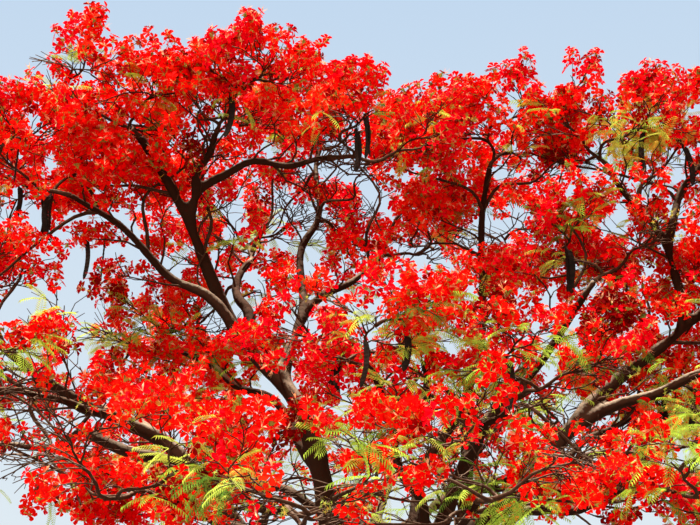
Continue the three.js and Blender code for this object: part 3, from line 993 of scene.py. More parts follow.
for order, mass in enumerate(masses):
    own = np.zeros(len(limb_beads), bool)
    own[(order + 1) * (LIMB_BEADS + 1) : (order + 2) * (LIMB_BEADS + 1)] = True
    for number, share in enumerate(BOUGH_TWIG_SHARES):
        spray_number += 1
        base = mass.limb.point(share)
        ahead = mass.limb.tangent(share)
        across = unit(np.cross(ahead, UP))
        over = np.cross(across, ahead)
        turn = number * BOUGH_TWIG_TURN + order + chance.normal(0, BOUGH_TWIG_STRAY)
        lift = BOUGH_TWIG_LIFT[0] + BOUGH_TWIG_LIFT[1] * math.sin(turn)
        heading = unit(ahead * BOUGH_TWIG_AHEAD + (across * math.cos(turn) + over * lift))
        shortest, longest = BOUGH_TWIG_REACH
        length = shortest + (longest - shortest) * chance.random()
        tip = base + heading * (mass.limb.radius(share) + length)
        if near_limb(tip, own):
            continue
        twig = Shoot(base, tip, ahead, spray_number, swing=0.08, follow=0.5)
        strand(twig, BOUGH_TWIG_RADII, stations=7)
        if not seen_in(tip, OPENINGS) and chance.random() < thinned(tip):
            clusters.append((*head_on(twig), spray_number, False))
        leaf_seats.append((twig.point(0.5), heading, spray_number))
        for along in BOUGH_SHOOT_SHARES:
            sideways = unit(np.cross(heading, UP)) * chance.choice((-1, 1))
            rise = UP * chance.normal(*BOUGH_SHOOT_RISE)
            offset = unit(heading * BOUGH_SHOOT_AHEAD + sideways * BOUGH_SHOOT_ASIDE + rise)
            shoot_base = twig.point(along)
            shoot_tip = shoot_base + offset * length * BOUGH_SHOOT_REACH
            if near_limb(shoot_tip, own):
                continue
            shoot = Shoot(shoot_base, shoot_tip, heading, spray_number + along, swing=0.08, follow=0.6)
            strand(shoot, SHOOT_RADII, stations=4)
            raised = shoot_tip[2] > base[2] + RAISED_FROM
            flowering = raised and chance.random() < RAISED_SHARE * thinned(shoot_tip)
            if (flowering or seen_in(shoot_tip, CLOSED)) and not seen_in(shoot_tip, OPENINGS):
                clusters.append((*head_on(shoot), spray_number, False))
            leaf_seats.append((shoot.point(LEAF_SEAT), offset, spray_number))
            second_head(shoot)

# The crossing branches
# Long thin limbs that leave the side of one bough, sway past its neighbours and enter another's mass
# of blossom from below. They are bare for most of their way.
CROSSING_REACH = (0.7, 1.9)
CROSSINGS_PER_MASS = 2
CROSSING_RADII = (0.019, 0.008)
CROSSING_CLEARANCE = 0.01
CROSSING_STARTS = np.arange(0.3, 0.9, 0.05)
CROSSING_END = (0.3, 0.35)  # below a mass's middle, and short of it, in its own sizes
CROSSING_AHEAD = 0.1
CROSSING_BEADS = np.linspace(0.15, 0.95, 12)
CROSSING_SHOOT_SHARES = (0.35, 0.5, 0.65, 0.8)
CROSSING_SHOOT_RADII = (0.0075, 0.0034)
CROSSING_SHOOT_REACH = (0.25, 0.2)  # the least, and how much more at most
CROSSING_SHOOT_SPREAD = 0.7
CROSSING_SHOOT_RISE = (0.2, 0.4)
IN_FLOWER_SHARE = 0.4


def crossing_branch(mass, start, along, number):
    """A branch from a place on a limb into a mass, or None where it would run into a limb."""
    below, short = CROSSING_END
    aim = mass.middle - below * mass.radii[2] * UP
    aim = aim + short * mass.spread * unit((start - aim) * (1, 1, 0))
    branch = Shoot(start, aim, along, mass.order + 2 * number, swing=0.085, follow=0.9)
    places = branch.point(CROSSING_BEADS)
    gaps = np.linalg.norm(places[:, None] - limb_beads[None], axis=2) - limb_halves
    return branch if gaps.min() > CROSSING_RADII[0] + CROSSING_CLEARANCE else None


def crossing_starts(mass):
    """Places on other boughs within reach of a mass, the nearest first, as (distance, order, share)."""
    found = []
    for other in masses:
        for share in CROSSING_STARTS:
            start = other.limb.point(share)
            toward = mass.middle - start
            distance = np.linalg.norm(toward)
            ahead = other.limb.tangent(share) @ toward > CROSSING_AHEAD * distance
            if other is not mass and ahead and CROSSING_REACH[0] < distance < CROSSING_REACH[1]:
                found.append((distance, other.order, share))
    return sorted(found)


for mass in masses:
    used = []
    for _, order, share in crossing_starts(mass):
        if order in used or len(used) == CROSSINGS_PER_MASS:
            continue
        limb = masses[order].limb
        branch = crossing_branch(mass, limb.point(share), limb.tangent(share), len(used))
        if branch is None:
            continue
        used.append(order)
        spray_number += 1
        strand(branch, CROSSING_RADII, stations=14)
        for along in CROSSING_SHOOT_SHARES:
            base = branch.point(along)
            ahead = branch.heading(along)
            sideways = unit(np.cross(ahead, UP)) * chance.choice((-1, 1))
            rise = UP * chance.normal(*CROSSING_SHOOT_RISE)
            heading = unit(CROSSING_SHOOT_SPREAD * ahead + CROSSING_SHOOT_SPREAD * sideways + rise)
            tip = base + heading * vary(*CROSSING_SHOOT_REACH)
            if near_limb(tip):
                continue
            shoot = Shoot(base, tip, ahead, spray_number + along, swing=0.08, follow=0.7)
            strand(shoot, CROSSING_SHOOT_RADII, stations=5)
            flowering = chance.random() < IN_FLOWER_SHARE * thinned(tip) or seen_in(tip, CLOSED)
            if flowering and not seen_in(tip, OPENINGS):
                clusters.append((*head_on(shoot), spray_number, False))
            leaf_seats.append((shoot.point(LEAF_SEAT), heading, spray_number))
            second_head(shoot)

# The clusters
# Each stalk bears seven to twelve flowers in a loose head, the lowest turned outward and the highest
# along the stalk, with green buds at its very tip. Others bear only what is left of spent flowers.
FOOT_STALK = 0.062
OPEN_HEAD_LENGTH = 1.35
STALK_RADII = np.array([0.0026, 0.0016])
STALK_SUNK = 0.01
FLOWERS_PER_CLUSTER = (7, 12)
OPEN_HEAD_FLOWERS = (5, 8)
BUDS_PER_CLUSTER = 3
OPEN_HEAD_BUDS = 5
FLOWERS_REACH = 0.95  # of the stalk
BUDS_FROM = 0.9  # of the stalk
SPENT_PER_HEAD = (5, 8)
SPENT_REACH = 0.6
# What varies at random, as the least and how much more at most.
STALK_LENGTHS = (0.8, 0.4)
START_TURNS = (0, 7)
FLOWER_SIZES = (0.85, 0.3)
CUPS = (0.5, 1.2)
BUD_SIZES = (0.8, 0.5)
SPENT_SIZES = (0.6, 0.25)
# How much a flower faces outward and along the stalk: the lowest, and the change to the highest.
OUTWARD = (1.15, -0.75)
ALONG = (0.1, 0.8)
UPWARD = 0.25
UNRULY = 0.25
flowers = []  # each (place, facing, size, cup, spray)
buds = []  # each (place, facing, size)
spent = []  # each (place, facing, size)


def across_and_over(direction):
    """Two directions square to a stalk and to each other."""
    across = unit(np.cross(direction, UP + 0.01 * chance.normal(size=3)))
    return across, np.cross(across, direction)


for base, direction, spray, open_head in clusters:
    length = STALK_LENGTH * vary(*STALK_LENGTHS) * (OPEN_HEAD_LENGTH if open_head else 1)
    stalk = np.array([base - direction * STALK_SUNK, base + direction * length])
    twigs_and_shoots.append((stalk, STALK_RADII))
    fewest, most = OPEN_HEAD_FLOWERS if open_head else FLOWERS_PER_CLUSTER
    count = chance.integers(fewest, most + 1)
    across, over = across_and_over(direction)
    start = vary(*START_TURNS)
    for i in range(count):
        share = (i + 0.5) / count
        turn = start + i * GOLDEN_TURN
        radial = across * math.cos(turn) + over * math.sin(turn)
        facing = radial * (OUTWARD[0] + OUTWARD[1] * share) + direction * (ALONG[0] + ALONG[1] * share)
        facing = unit(unit(facing + UPWARD * UP) + UNRULY * chance.normal(size=3))
        size = vary(*FLOWER_SIZES)
        node = base + direction * length * (FLOWERS_REACH * share)
        cup = vary(*CUPS)
        flowers.append((node + facing * FOOT_STALK * size, facing, size, cup, spray))
    for i in range(OPEN_HEAD_BUDS if open_head else BUDS_PER_CLUSTER):
        turn = start + (count + i) * GOLDEN_TURN
        radial = across * math.cos(turn) + over * math.sin(turn)
        facing = unit(0.5 * radial + direction)
        size = vary(*BUD_SIZES)
        buds.append((base + direction * length * (BUDS_FROM + 0.1 * i / 3), facing, size))
for base, direction, spray in spent_heads:
    fewest, most = SPENT_PER_HEAD
    count = chance.integers(fewest, most + 1)
    across, over = across_and_over(direction)
    for i in range(count):
        turn = spray + i * GOLDEN_TURN
        radial = across * math.cos(turn) + over * math.sin(turn)
        facing = unit(radial + direction * (i + 1) / count + 0.3 * chance.normal(size=3))
        node = base + direction * SPENT_REACH * STALK_LENGTH * i / count
        spent.append((node + facing * SPENT_REACH * FOOT_STALK, facing, vary(*SPENT_SIZES)))

# The wood of the stems, twigs and stalks
# Every path above becomes a thin round limb of dark bark, reddened by painted red light from the
# blossom, with a little pale dust on its upper side that is also a painted highlight of the sun. The
# stout ones are one piece, and the fine ones with the flowers' stalks another.
STEM_SIDES = 6
TWIG_SIDES = 3
# Where the twigs' pale tops show: partly dust, partly a painted highlight of the sun.
TWIG_DUST_AND_TOP_LIGHT_FROM = 1.1
TWIG_DUST_AND_TOP_LIGHT_MOST = 0.8
tubes = Growth("twig wood", {"Sides": "Int"})
circle = {"Resolution": tubes.inputs["Sides"], "Radius": 1.0}
rim = tubes.node("GeometryNodeCurvePrimitiveCircle", None, circle)
line = tubes.node("GeometryNodeMeshToCurve", None, {"Mesh": tubes.inputs["Geometry"]})
tube = tubes.node(
    "GeometryNodeCurveToMesh",
    None,
    {
        "Curve": line.outputs[0],
        "Profile Curve": rim.outputs[0],
        "Scale": tubes.named("thickness"),
        "Fill Caps": True,
    },
)
tubes.ends_in(tube.outputs[0])

twig_finish = Finish("twig bark")
specks = twig_finish.noise(40.0, 3.0)
speckled = (specks * 1.2 - 0.2).within(0, 1)
# Both browns are reddened: painted red light thrown onto the twigs from the blossom.
twig_colour = twig_finish.blend(speckled, (0.022, 0.007, 0.003), (0.085, 0.036, 0.018))
# Pale where the surface faces up: dust, and a painted highlight of the sun on the twigs' tops.
twig_dust_and_top_light = (twig_finish.facing_up() * 1.2 + specks * 0.9 - TWIG_DUST_AND_TOP_LIGHT_FROM).within(0, TWIG_DUST_AND_TOP_LIGHT_MOST)
twig_colour = twig_finish.blend(twig_dust_and_top_light, twig_colour, (0.5, 0.36, 0.25))
twig_material = twig_finish.surface(
    {"Base Color": twig_colour, "Roughness": 0.8, "Specular IOR Level": 0.03}
)

blossom_nodes = ["blossom_" + mass.name for mass in masses]
for name, strands, sides in (("stems", stems, STEM_SIDES), ("twigs", twigs_and_shoots, TWIG_SIDES)):
    edges = []
    first = 0
    for points, _ in strands:
        edges += [(place, place + 1) for place in range(first, first + len(points) - 1)]
        first += len(points)
    wood = piece_of(name, np.concatenate([points for points, _ in strands]), edges=edges)
    thickness = wood.data.attributes.new("thickness", "FLOAT", "POINT")
    thickness.data.foreach_set("value", np.concatenate([radii for _, radii in strands]))
    tubes.grow(wood, {"Sides": sides, "Material": twig_material})
    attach(wood, "root")
    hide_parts(*blossom_nodes)

# The flowers
# Four spoon-shaped scarlet petals on narrow claws, spread and a little crinkled, cupped more or less.
# Colours differ from spray to spray with the flowers' age, and one flower in four goes its own way. The
# deep red is partly painted shade: dark flowers that stand for shaded ones among the bright.
PETAL_LENGTH = 0.058
PETAL = [
    (0.0, 0.0, 0.0),
    (0.62, -0.32, 0.24),
    (0.98, -0.2, 0.1),
    (1.0, 0.2, 0.16),
    (0.62, 0.34, 0.22),
]
PETAL_FACES = [(0, 1, 2), (0, 2, 3), (0, 3, 4)]
FIFTH = 2 * math.pi / 5
CRINKLE = 0.25
CRINKLE_TURN = 3.7
STRAY_SHARE = 0.25
UNEVENNESS = 0.15
# name, share of the sprays, colour where the petal is bright, and where it is deep
TINTS = [
    ("scarlet", 0.36, (0.98, 0.003, 0.002), (0.75, 0.001, 0.001)),
    ("bright_scarlet", 0.3, (1.0, 0.01, 0.003), (0.92, 0.003, 0.002)),
    ("orange_red", 0.07, (1.0, 0.03, 0.005), (0.95, 0.01, 0.003)),
    ("crimson", 0.22, (0.98, 0.002, 0.014), (0.7, 0.001, 0.007)),
    # Partly painted shade: a dark copy of scarlet, scattered among the bright flowers.
    ("deep_red", 0.05, (0.4, 0.001, 0.001), (0.16, 0.001, 0.001)),
]


def column(rows, number):
    return np.array([row[number] for row in rows])


def ring_of(outline, faces, turns, scale):
    """Copies of a small outline turned about +Z."""
    points = []
    corners = []
    for number, turn in enumerate(turns):
        start = len(points)
        cosine, sine = math.cos(turn), math.sin(turn)
        wobble = 1 + CRINKLE * math.sin(CRINKLE_TURN * number + 1)
        for out, aside, up in outline:
            x = scale * (out * cosine - aside * sine)
            y = scale * (out * sine + aside * cosine)
            points.append((x, y, scale * up * wobble))
        corners += [tuple(corner + start for corner in face) for face in faces]
    return points, corners


scatter = Growth("scatter", {"Shape": "Object", "Seed": "Int", "Unevenness": "Float"})
shape = scatter.node("GeometryNodeObjectInfo", None, {"Object": scatter.inputs["Shape"]})
turned = scatter.node(
    "FunctionNodeAxesToRotation",
    {"primary_axis": "Z", "secondary_axis": "X"},
    {0: scatter.named("facing", "FLOAT_VECTOR"), 1: scatter.named("side", "FLOAT_VECTOR")},
)
smallest = 1 - Amount(scatter, scatter.inputs["Unevenness"])
jitter = scatter.node(
    "FunctionNodeRandomValue",
    {"data_type": "FLOAT"},
    {2: smallest, 3: 1.0, "Seed": scatter.inputs["Seed"]},
)
scale = scatter.node(
    "ShaderNodeVectorMath",
    {"operation": "SCALE"},
    {0: scatter.named("size", "FLOAT_VECTOR"), "Scale": jitter.outputs[1]},
)
copies = scatter.node(
    "GeometryNodeInstanceOnPoints",
    None,
    {
        "Points": scatter.inputs["Geometry"],
        "Instance": shape.outputs["Geometry"],
        "Rotation": turned.outputs[0],
        "Scale": scale.outputs[0],
    },
)
scatter.ends_in(copies.outputs[0])


def scattered(name, shape, places, facings, sizes, material, seed, sides=None, unevenness=UNEVENNESS):
    """A joined piece of one shape set at many places, its +Z along each facing, +X along each side."""
    sizes = np.asarray(sizes)
    if sizes.ndim == 1:
        sizes = np.repeat(sizes[:, None], 3, axis=1)
    if sides is None:
        spin = np.random.default_rng(seed)
        sides = unit(np.cross(facings, unit(spin.normal(size=facings.shape))))
    piece = piece_of(name, places)
    for label, values in (("facing", facings), ("side", sides), ("size", sizes)):
        layer = piece.data.attributes.new(label, "FLOAT_VECTOR", "POINT")
        layer.data.foreach_set("vector", np.asarray(values, float).ravel())
    scatter.grow(piece, {"Shape": shape, "Seed": seed, "Unevenness": unevenness, "Material": material})
    for label in ("facing", "side", "size"):
        if label in piece.data.attributes:
            piece.data.attributes.remove(piece.data.attributes[label])
    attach(piece, "root")
    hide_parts(*blossom_nodes)


def two_toned(
    name, deep, bright, scale, start=0.0, steepness=1.0, detail=2.0, rough=0.6, shine=0.05, glow=()
):
    """A finish in patches of two colours, with the sharper edges the greater their steepness. Where
    glow is given, as a share and a colour, light comes through it."""
    finish = Finish(name)
    share = ((finish.noise(scale, detail) - start) * steepness).within(0, 1)
    colour = finish.blend(share, deep, bright)
    sockets = {"Base Color": colour, "Roughness": rough, "Specular IOR Level": shine}
    return finish.surface(sockets, *glow)


def petal_finish(name, bright, deep, rough=0.5, through=0.38):
    """The finish of petals and leaves: soft, hardly shiny, and bright with the light behind it."""
    glow = (through, (*bright, 1))
    return two_toned(name, deep, bright, 17.0, 0.42, 4, rough=rough, shine=0.02, glow=glow)


petals_shape = piece_of("petal shape", *ring_of(PETAL, PETAL_FACES, FIFTH * np.arange(4), PETAL_LENGTH))
tint_of_spray = chance.choice(len(TINTS), size=spray_number + 1, p=column(TINTS, 1))
places, facings, sizes, cups, sprays = (column(flowers, number) for number in range(5))
stray = chance.random(len(flowers)) < STRAY_SHARE
tints = np.where(stray, chance.integers(0, len(TINTS), len(flowers)), tint_of_spray[sprays])
cupped = np.stack([sizes, sizes, sizes * cups], axis=1)
for number, (name, _, bright, deep) in enumerate(TINTS):
    own = tints == number
    material = petal_finish(name + " petal", bright, deep)
    scattered("petals_" + name, petals_shape, places[own], facings[own], cupped[own], material, number)

# The standard petals and stamens
# The fifth petal stands up narrower than the rest, cream to pink, streaked with red, and a few long
# pale stamens stand out of the flower with it. They show on two flowers in five.
STANDARD = [
    (0.0, 0.0, 0.0),
    (0.42, -0.12, 0.38),
    (0.42, 0.12, 0.42),
    (0.85, 0.0, 0.5),
]
STANDARD_FACES = [(0, 1, 2), (2, 1, 3)]
STAMEN_TIPS = [(-0.4, 0.3, 0.9), (0.3, -0.35, 0.95), (0.05, 0.4, 1.0)]
STAMEN_ROOT = [(0.0, -0.05, 0.02), (0.0, 0.05, 0.02)]
STANDARD_SHARE = 0.42
for tip in STAMEN_TIPS:
    first = len(STANDARD)
    STANDARD += [*STAMEN_ROOT, tip]
    STANDARD_FACES.append((first, first + 1, first + 2))
standard_mesh = ring_of(STANDARD, STANDARD_FACES, [4 * FIFTH], PETAL_LENGTH)
standard_shape = piece_of("standard shape", *standard_mesh)
standard_finish = petal_finish("streaked petal", (1.0, 0.78, 0.45), (0.98, 0.25, 0.08))
own = chance.random(len(flowers)) < STANDARD_SHARE
scattered("standard_petals", standard_shape, places[own], facings[own], sizes[own], standard_finish, 11)

# The sepals and foot stalks
# Five narrow sepals, yellow-green outside, bent back under the petals, on a thin stalk. Every flower
# has its stalk, about half of them show their sepals, and spent flowers have nothing else.
SEPAL = [(0.05, -0.16, -0.03), (1.0, 0.0, -0.14), (0.05, 0.16, -0.03)]
SEPAL_LENGTH = 0.036
SEPAL_SHARE = 0.55
STALK_HALF_WIDTH = 0.0036
STALK_DROP = 1.05 * FOOT_STALK
between_petals = FIFTH * (np.arange(5) + 0.5)
calyx_shape = piece_of("calyx shape", *ring_of(SEPAL, [(0, 1, 2)], between_petals, SEPAL_LENGTH))
calyx_glow = (0.3, (0.5, 0.48, 0.05, 1))
calyx_finish = two_toned("sepal", (0.42, 0.52, 0.08), (0.84, 0.3, 0.05), 23.0, 0.5, 5, glow=calyx_glow)
own = chance.random(len(flowers)) < SEPAL_SHARE
calyx_places = np.concatenate([places[own], column(spent, 0)])
calyx_facings = np.concatenate([facings[own], column(spent, 1)])
calyx_sizes = np.concatenate([sizes[own], column(spent, 2)])
scattered("sepals", calyx_shape, calyx_places, calyx_facings, calyx_sizes, calyx_finish, 12)
stalk_points = [(-STALK_HALF_WIDTH, 0.0, 0.0), (STALK_HALF_WIDTH, 0.0, 0.0), (0.0, 0.0, -STALK_DROP)]
stalk_shape = piece_of("stalk shape", stalk_points, [(0, 1, 2)])
stalk_finish = two_toned("foot stalk", (0.42, 0.46, 0.04), (0.66, 0.22, 0.04), 19.0)
scattered("foot_stalks", stalk_shape, places, facings, sizes, stalk_finish, 13, unevenness=0.0)

# The buds
# Green to yellow, blunt and egg-shaped, close together at the very tip of their cluster. The first of
# them are the next to open.
BUD_SIDES = 3
BUD_HALF_WIDTH = 0.0095
BUD_TOP = 0.04
BUD_WIDEST = 0.028
BUD_FOOT = -0.015
bud_points = [(0.0, 0.0, BUD_TOP), (0.0, 0.0, BUD_FOOT)]
bud_faces = []
for side in range(BUD_SIDES):
    turn = 2 * math.pi * side / BUD_SIDES
    bud_points.append((BUD_HALF_WIDTH * math.cos(turn), BUD_HALF_WIDTH * math.sin(turn), BUD_WIDEST))
    here = 2 + side
    beside = 2 + (side + 1) % BUD_SIDES
    bud_faces += [(0, here, beside), (1, beside, here)]
bud_shape = piece_of("bud shape", bud_points, bud_faces)
bud_colours = ((0.1, 0.22, 0.03), (0.5, 0.45, 0.08))
bud_finish = two_toned("bud", *bud_colours, 15.0, 0.25, 2, rough=0.55, shine=0.1)
scattered("buds", bud_shape, column(buds, 0), column(buds, 1), column(buds, 2), bud_finish, 7)

# The leaves
# Feathery: a thin ribbed stalk with a dozen pairs of narrow side leaves, drooping a little, in tufts
# on some of the sprays. Green to yellow-green, and golden where they are young.
LEAF_LENGTH = 0.24
LEAF_PAIRS = 12
LEAF_DROOP = 0.08
LEAFLET_LENGTH = 0.056
LEAFLET_HALF_WIDTH = 0.0042
LEAFLETS_FROM = 0.16
LEAFLET_SPREAD = 0.92
LEAFLET_LEAN = 0.45
LEAFLET_SAG = 0.012
LEAFLET_TIP_SAG = (0.01, 0.03)  # at the leaf's foot, and how much more at its tip
LEAFLET_SLANT = 0.002
LEAF_RIB = 0.0032
RIB_TAPER = 0.7
RIB_RINGS = 3
LEAVES_PER_SEAT = 2
LEAF_SIZES = (0.75, 0.45)
LEAF_AHEAD = 0.8
LEAF_ASIDE = 0.8
LEAF_RISE = (-0.2, 0.3)  # the mean, and how much it differs
LEAF_TWIST = 0.2
LEAFY_TOP = 7.2
LEAFY_LOW = 5.4
LEAFY_SHARES = (0.1, 0.3)
# Hardly any leaves show here.
FEW_LEAVES = [
    (-2.84, 5.04, 0.32),
    (-2.37, 4.68, 0.32),
    (-1.95, 4.68, 0.25),
    (1.62, 6.58, 0.24),
    (2.98, 6.21, 0.22),
    (2.45, 5.11, 0.28),
    (1.14, 4.68, 0.21),
    (0.65, 4.26, 0.17),
    (-0.18, 5.13, 0.2),
    (-0.86, 3.91, 0.24),
    (-0.21, 3.91, 0.29),
    (-1.4, 6.78, 0.24),
]
LEAFY_SHARE = 0.9
FEW_LEAVES_SHARE = 0.07


def leaf_shape():
    points = []
    faces = []
    for pair in range(LEAF_PAIRS):
        share = LEAFLETS_FROM + (1 - LEAFLETS_FROM) * pair / (LEAF_PAIRS - 1)
        z = LEAF_LENGTH * share
        x = -LEAF_DROOP * share**2
        length = LEAFLET_LENGTH * math.sin(math.pi * (0.2 + 0.72 * share)) ** 0.7
        for side in (-1, 1):
            root = len(points)
            ahead, tip, behind = root + 1, root + 2, root + 3
            tip_y = side * length * LEAFLET_SPREAD
            tip_z = z + LEAFLET_LEAN * length
            tip_x = x - LEAFLET_TIP_SAG[1] * share - LEAFLET_TIP_SAG[0]
            middle_x = x - LEAFLET_SAG
            middle_z = (z + tip_z) / 2
            slant = side * LEAFLET_SLANT
            points.append((x, 0.0, z))
            points.append((middle_x, 0.5 * tip_y - slant, middle_z + LEAFLET_HALF_WIDTH))
            points.append((tip_x, tip_y, tip_z))
            points.append((middle_x, 0.5 * tip_y + slant, middle_z - LEAFLET_HALF_WIDTH))
            if side > 0:
                faces += [(root, tip, ahead), (root, behind, tip)]
            else:
                faces += [(root, ahead, tip), (root, tip, behind)]
    first = len(points)
    for ring in range(RIB_RINGS):
        share = ring / (RIB_RINGS - 1)
        for turn in (0.0, 2.1, 4.2):
            radius = LEAF_RIB * (1 - RIB_TAPER * share)
            x = -LEAF_DROOP * share**2 + radius * math.cos(turn)
            points.append((x, radius * math.sin(turn), LEAF_LENGTH * share))
    for ring in range(RIB_RINGS - 1):
        for side in range(3):
            here = first + 3 * ring + side
            beside = first + 3 * ring + (side + 1) % 3
            faces.append((here, beside, beside + 3, here + 3))
    return piece_of("leaf shape", points, faces)


leaf = leaf_shape()
# name, share of the sprays, colour where the leaf is bright, and where it is deep
LEAF_TINTS = [
    ("green", 0.5, (0.6, 0.78, 0.09), (0.34, 0.54, 0.05)),
    ("yellow_green", 0.32, (0.8, 0.9, 0.14), (0.56, 0.74, 0.09)),
    ("dark_green", 0.16, (0.2, 0.36, 0.04), (0.09, 0.18, 0.02)),
    ("golden", 0.02, (0.9, 0.66, 0.08), (0.75, 0.48, 0.05)),
]
leafless = chance.random(spray_number + 1)
leaf_tints = chance.choice(len(LEAF_TINTS), size=spray_number + 1, p=column(LEAF_TINTS, 1))
leaves = []  # each (place, facing, side, size, tint)
for place, direction, spray in leaf_seats:
    leafy = np.interp(place[2], (LEAFY_LOW, LEAFY_TOP), LEAFY_SHARES[::-1])
    if seen_in(place, LEAFY):
        leafy = LEAFY_SHARE
    if seen_in(place, FEW_LEAVES):
        leafy = FEW_LEAVES_SHARE
    if leafless[spray] > leafy or seen_in(place, OPENINGS):
        continue
    across = unit(np.cross(direction, UP))
    for _ in range(LEAVES_PER_SEAT):
        aside = across * chance.normal(0, LEAF_ASIDE)
        facing = unit(direction * LEAF_AHEAD + aside + UP * chance.normal(*LEAF_RISE))
        side = unit(UP - facing * (facing @ UP) + LEAF_TWIST * chance.normal(size=3))
        leaves.append((place, facing, side, vary(*LEAF_SIZES), leaf_tints[spray]))
for number, (name, _, bright, deep) in enumerate(LEAF_TINTS):
    own = [row for row in leaves if row[4] == number]
    material = petal_finish(name + " leaf", bright, deep, rough=0.55, through=0.35)
    seats, turns, sides, sizes = (column(own, part) for part in range(4))
    scattered("leaves_" + name, leaf, seats, turns, sizes, material, number, sides)

# The pods
# Last year's, flat, woody and sabre-shaped, nearly black, with a swelling over each seed. They hang
# straight down from their twig by a short stalk, in ones and twos.
POD_RINGS = 26
POD_SECTION = [
    (1.0, 0.12),
    (0.6, 0.95),
    (-0.6, 0.95),
    (-1.0, 0.12),
    (-1.0, -0.12),
    (-0.6, -0.95),
    (0.6, -0.95),
    (1.0, -0.12),
]
POD_BOW = 0.036
POD_STALK = 0.055
POD_BODY = (0.6, 0.5)  # where on its stalk it starts to widen, and over how much of it
POD_SUNK = 0.015
POD_TIP = 0.14  # the share of its length over which it narrows
STALK_HALF = 0.005
STALK_THICK = 0.004
POD_SWELLING = (0.0025, 0.0015)  # between the seeds, and how much more or less on them
POD_WIDENED = 1.2
SECOND_POD_SHARE = 0.4
SECOND_POD_TURN = 1.3
SECOND_POD_ASIDE = 0.05
SECOND_POD_SHORTER = 0.2
POD_SWAY = 0.05
POD_TURN = 2.4
POD_ROOM = 0.03
PODS_APART = 0.12
# More pods hang from stout twigs. The top of each is given as the head's openings are.
POD_TOPS = [
    (-2.96, 6.73),
    (-2.82, 6.75),
    (-2.43, 6.47),
    (-2.33, 6.25),
    (0.16, 7.79),
    (3.18, 7.45),
    (-0.14, 5.38),
    (0.66, 5.29),
    (2.4, 6.31),
    (2.66, 4.72),
]
FARTHER_AWAY = 0.06  # how much a twig's distance from the camera counts against it


def pod_hangs_free(top):
    beads = top - POD_LENGTH * BEAD_SHARES[:, None] * UP
    gaps = np.linalg.norm(beads[:, None] - limb_beads[None], axis=2) - limb_halves
    others = [np.linalg.norm(top - other) for other, _ in pod_seats]
    return gaps.min() > POD_ROOM and min(others) > PODS_APART


stout_wood = np.concatenate([points[1:] for points, _ in stems])
wood_crossings = crossings(stout_wood)
for x, z in POD_TOPS:
    aside = np.hypot(wood_crossings[:, 0] - x, wood_crossings[:, 2] - z)
    order = np.argsort(aside + FARTHER_AWAY * stout_wood[:, 1])
    seat = next(number for number in order if pod_hangs_free(stout_wood[number]))
    pod_seats.append((stout_wood[seat], POD_TURN * len(pod_seats)))
pod_sides = len(POD_SECTION)
pod_points = []
pod_faces = []
for ring in range(POD_RINGS):
    share = ring / (POD_RINGS - 1)
    down = -POD_SUNK + (POD_LENGTH + POD_SUNK) * share
    body = min(max((down - POD_BODY[0] * POD_STALK) / (POD_BODY[1] * POD_STALK), 0), 1)
    taper = min((1 - share) / POD_TIP, 1) ** 0.6
    half = STALK_HALF + (POD_WIDTH / 2 - STALK_HALF) * body * max(taper, 0.02)
    swelling = POD_SWELLING[0] * body + POD_SWELLING[1] * body * math.cos(ring * math.pi)
    thick = (STALK_THICK + swelling) * max(taper, 0.05)
    bow = -POD_BOW * math.sin(math.pi * share) * body
    narrowed = 1 if ring < POD_RINGS - 1 else 0.1
    pod_points += [(bow + wide * half * narrowed, deep * thick, down) for wide, deep in POD_SECTION]
for ring in range(POD_RINGS - 1):
    for side in range(pod_sides):
        here = ring * pod_sides + side
        beside = ring * pod_sides + (side + 1) % pod_sides
        pod_faces.append((here, beside, beside + pod_sides, here + pod_sides))
pod_faces.append(tuple(reversed(range(pod_sides))))
pod_faces.append(tuple(range((POD_RINGS - 1) * pod_sides, POD_RINGS * pod_sides)))
pod_shape = piece_of("pod shape", pod_points, pod_faces)
pod_finish = two_toned("pod", (0.006, 0.004, 0.003), (0.03, 0.018, 0.012), 30.0, detail=4.0)
pods = []  # each (place, facing, side, sizes)
for top, heading in pod_seats:
    for number in range(1 + int(chance.random() < SECOND_POD_SHARE)):
        turn = heading + SECOND_POD_TURN * number
        outward = np.array([math.cos(turn), math.sin(turn), 0])
        facing = unit(-UP + POD_SWAY * chance.normal(size=3))
        length = 1 - SECOND_POD_SHORTER * number * chance.random()
        size = [POD_WIDENED, POD_WIDENED, length]
        pods.append((top + SECOND_POD_ASIDE * number * outward, facing, outward, size))
seats, turns, sides, sizes = (column(pods, part) for part in range(4))
scattered("pods", pod_shape, seats, turns, sizes, pod_finish, 3, sides, unevenness=0.1)

for shape in (petals_shape, standard_shape, calyx_shape, stalk_shape, bud_shape, leaf, pod_shape):
    bpy.data.objects.remove(shape)

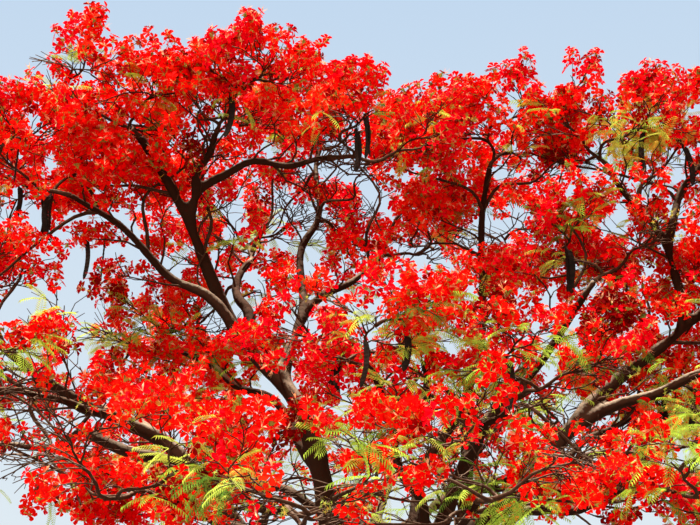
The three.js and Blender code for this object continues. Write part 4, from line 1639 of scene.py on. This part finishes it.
# The floor and the light
# A plain pale floor, a soft sun high on the left in front, and an even pale blue surround.
FLOOR_HALF = 30
SUN_FROM_ABOVE = math.radians(38)
SUN_FROM_LEFT = math.radians(28)
SUN_SPREAD = math.radians(9)
SUN_STRENGTH = 7.4
SUN_COLOUR = (1.0, 0.97, 0.92)
LOW_SKY = (0.78, 0.86, 0.9, 1)
HIGH_SKY = (0.5, 0.66, 0.86, 1)
SOFT_LIGHT = (1.0, 0.96, 0.92, 1)
SOFT_LIGHT_STRENGTH = 0.98
floor_corners = [(FLOOR_HALF * x, FLOOR_HALF * y, 0) for x, y in ((-1, -1), (1, -1), (1, 1), (-1, 1))]
floor = piece_of("floor", floor_corners, [(0, 1, 2, 3)])
floor_finish = Finish("pale floor")
floor.data.materials.append(floor_finish.surface({"Base Color": (0.3, 0.3, 0.295, 1), "Roughness": 0.9}))

sun = bpy.data.lights.new("sun", "SUN")
sun.energy = SUN_STRENGTH
sun.angle = SUN_SPREAD
sun.color = SUN_COLOUR
sun_holder = bpy.data.objects.new("sun", sun)
sun_holder.rotation_euler = (SUN_FROM_ABOVE, 0, -SUN_FROM_LEFT)
bpy.context.scene.collection.objects.link(sun_holder)

world = bpy.data.worlds.new("surround")
world.use_nodes = True
surround = Nodes(world.node_tree)
surround.tree.nodes.clear()
height = surround.upward(surround.node("ShaderNodeTexCoord").outputs["Generated"])
sky = surround.node(
    "ShaderNodeMix",
    {"data_type": "RGBA"},
    {0: (height * 2 - 0.2).within(0, 1), 6: LOW_SKY, 7: HIGH_SKY},
)
backdrop = surround.node("ShaderNodeBackground", None, {"Color": sky.outputs[2], "Strength": 1.0})
soft_light = {"Color": SOFT_LIGHT, "Strength": SOFT_LIGHT_STRENGTH}
softbox = surround.node("ShaderNodeBackground", None, soft_light)
seen = surround.node("ShaderNodeLightPath").outputs["Is Camera Ray"]
layers = {0: seen, 1: softbox.outputs[0], 2: backdrop.outputs[0]}
both = surround.node("ShaderNodeMixShader", None, layers)
surround.node("ShaderNodeOutputWorld", None, {"Surface": both.outputs[0]})
bpy.context.scene.world = world
bpy.context.scene.view_settings.view_transform = "Standard"

# The camera
# At eye level in front of the tree, looking up into its head.
LENS = 72
SENSOR_WIDTH = 36
LOOKING_UP = math.radians(21)
camera = bpy.data.cameras.new("camera")
camera.lens = LENS
camera.sensor_width = SENSOR_WIDTH
camera_holder = bpy.data.objects.new("camera", camera)
camera_holder.location = EYE
camera_holder.rotation_euler = (math.radians(90) + LOOKING_UP, 0, 0)
bpy.context.scene.collection.objects.link(camera_holder)
bpy.context.scene.camera = camera_holder
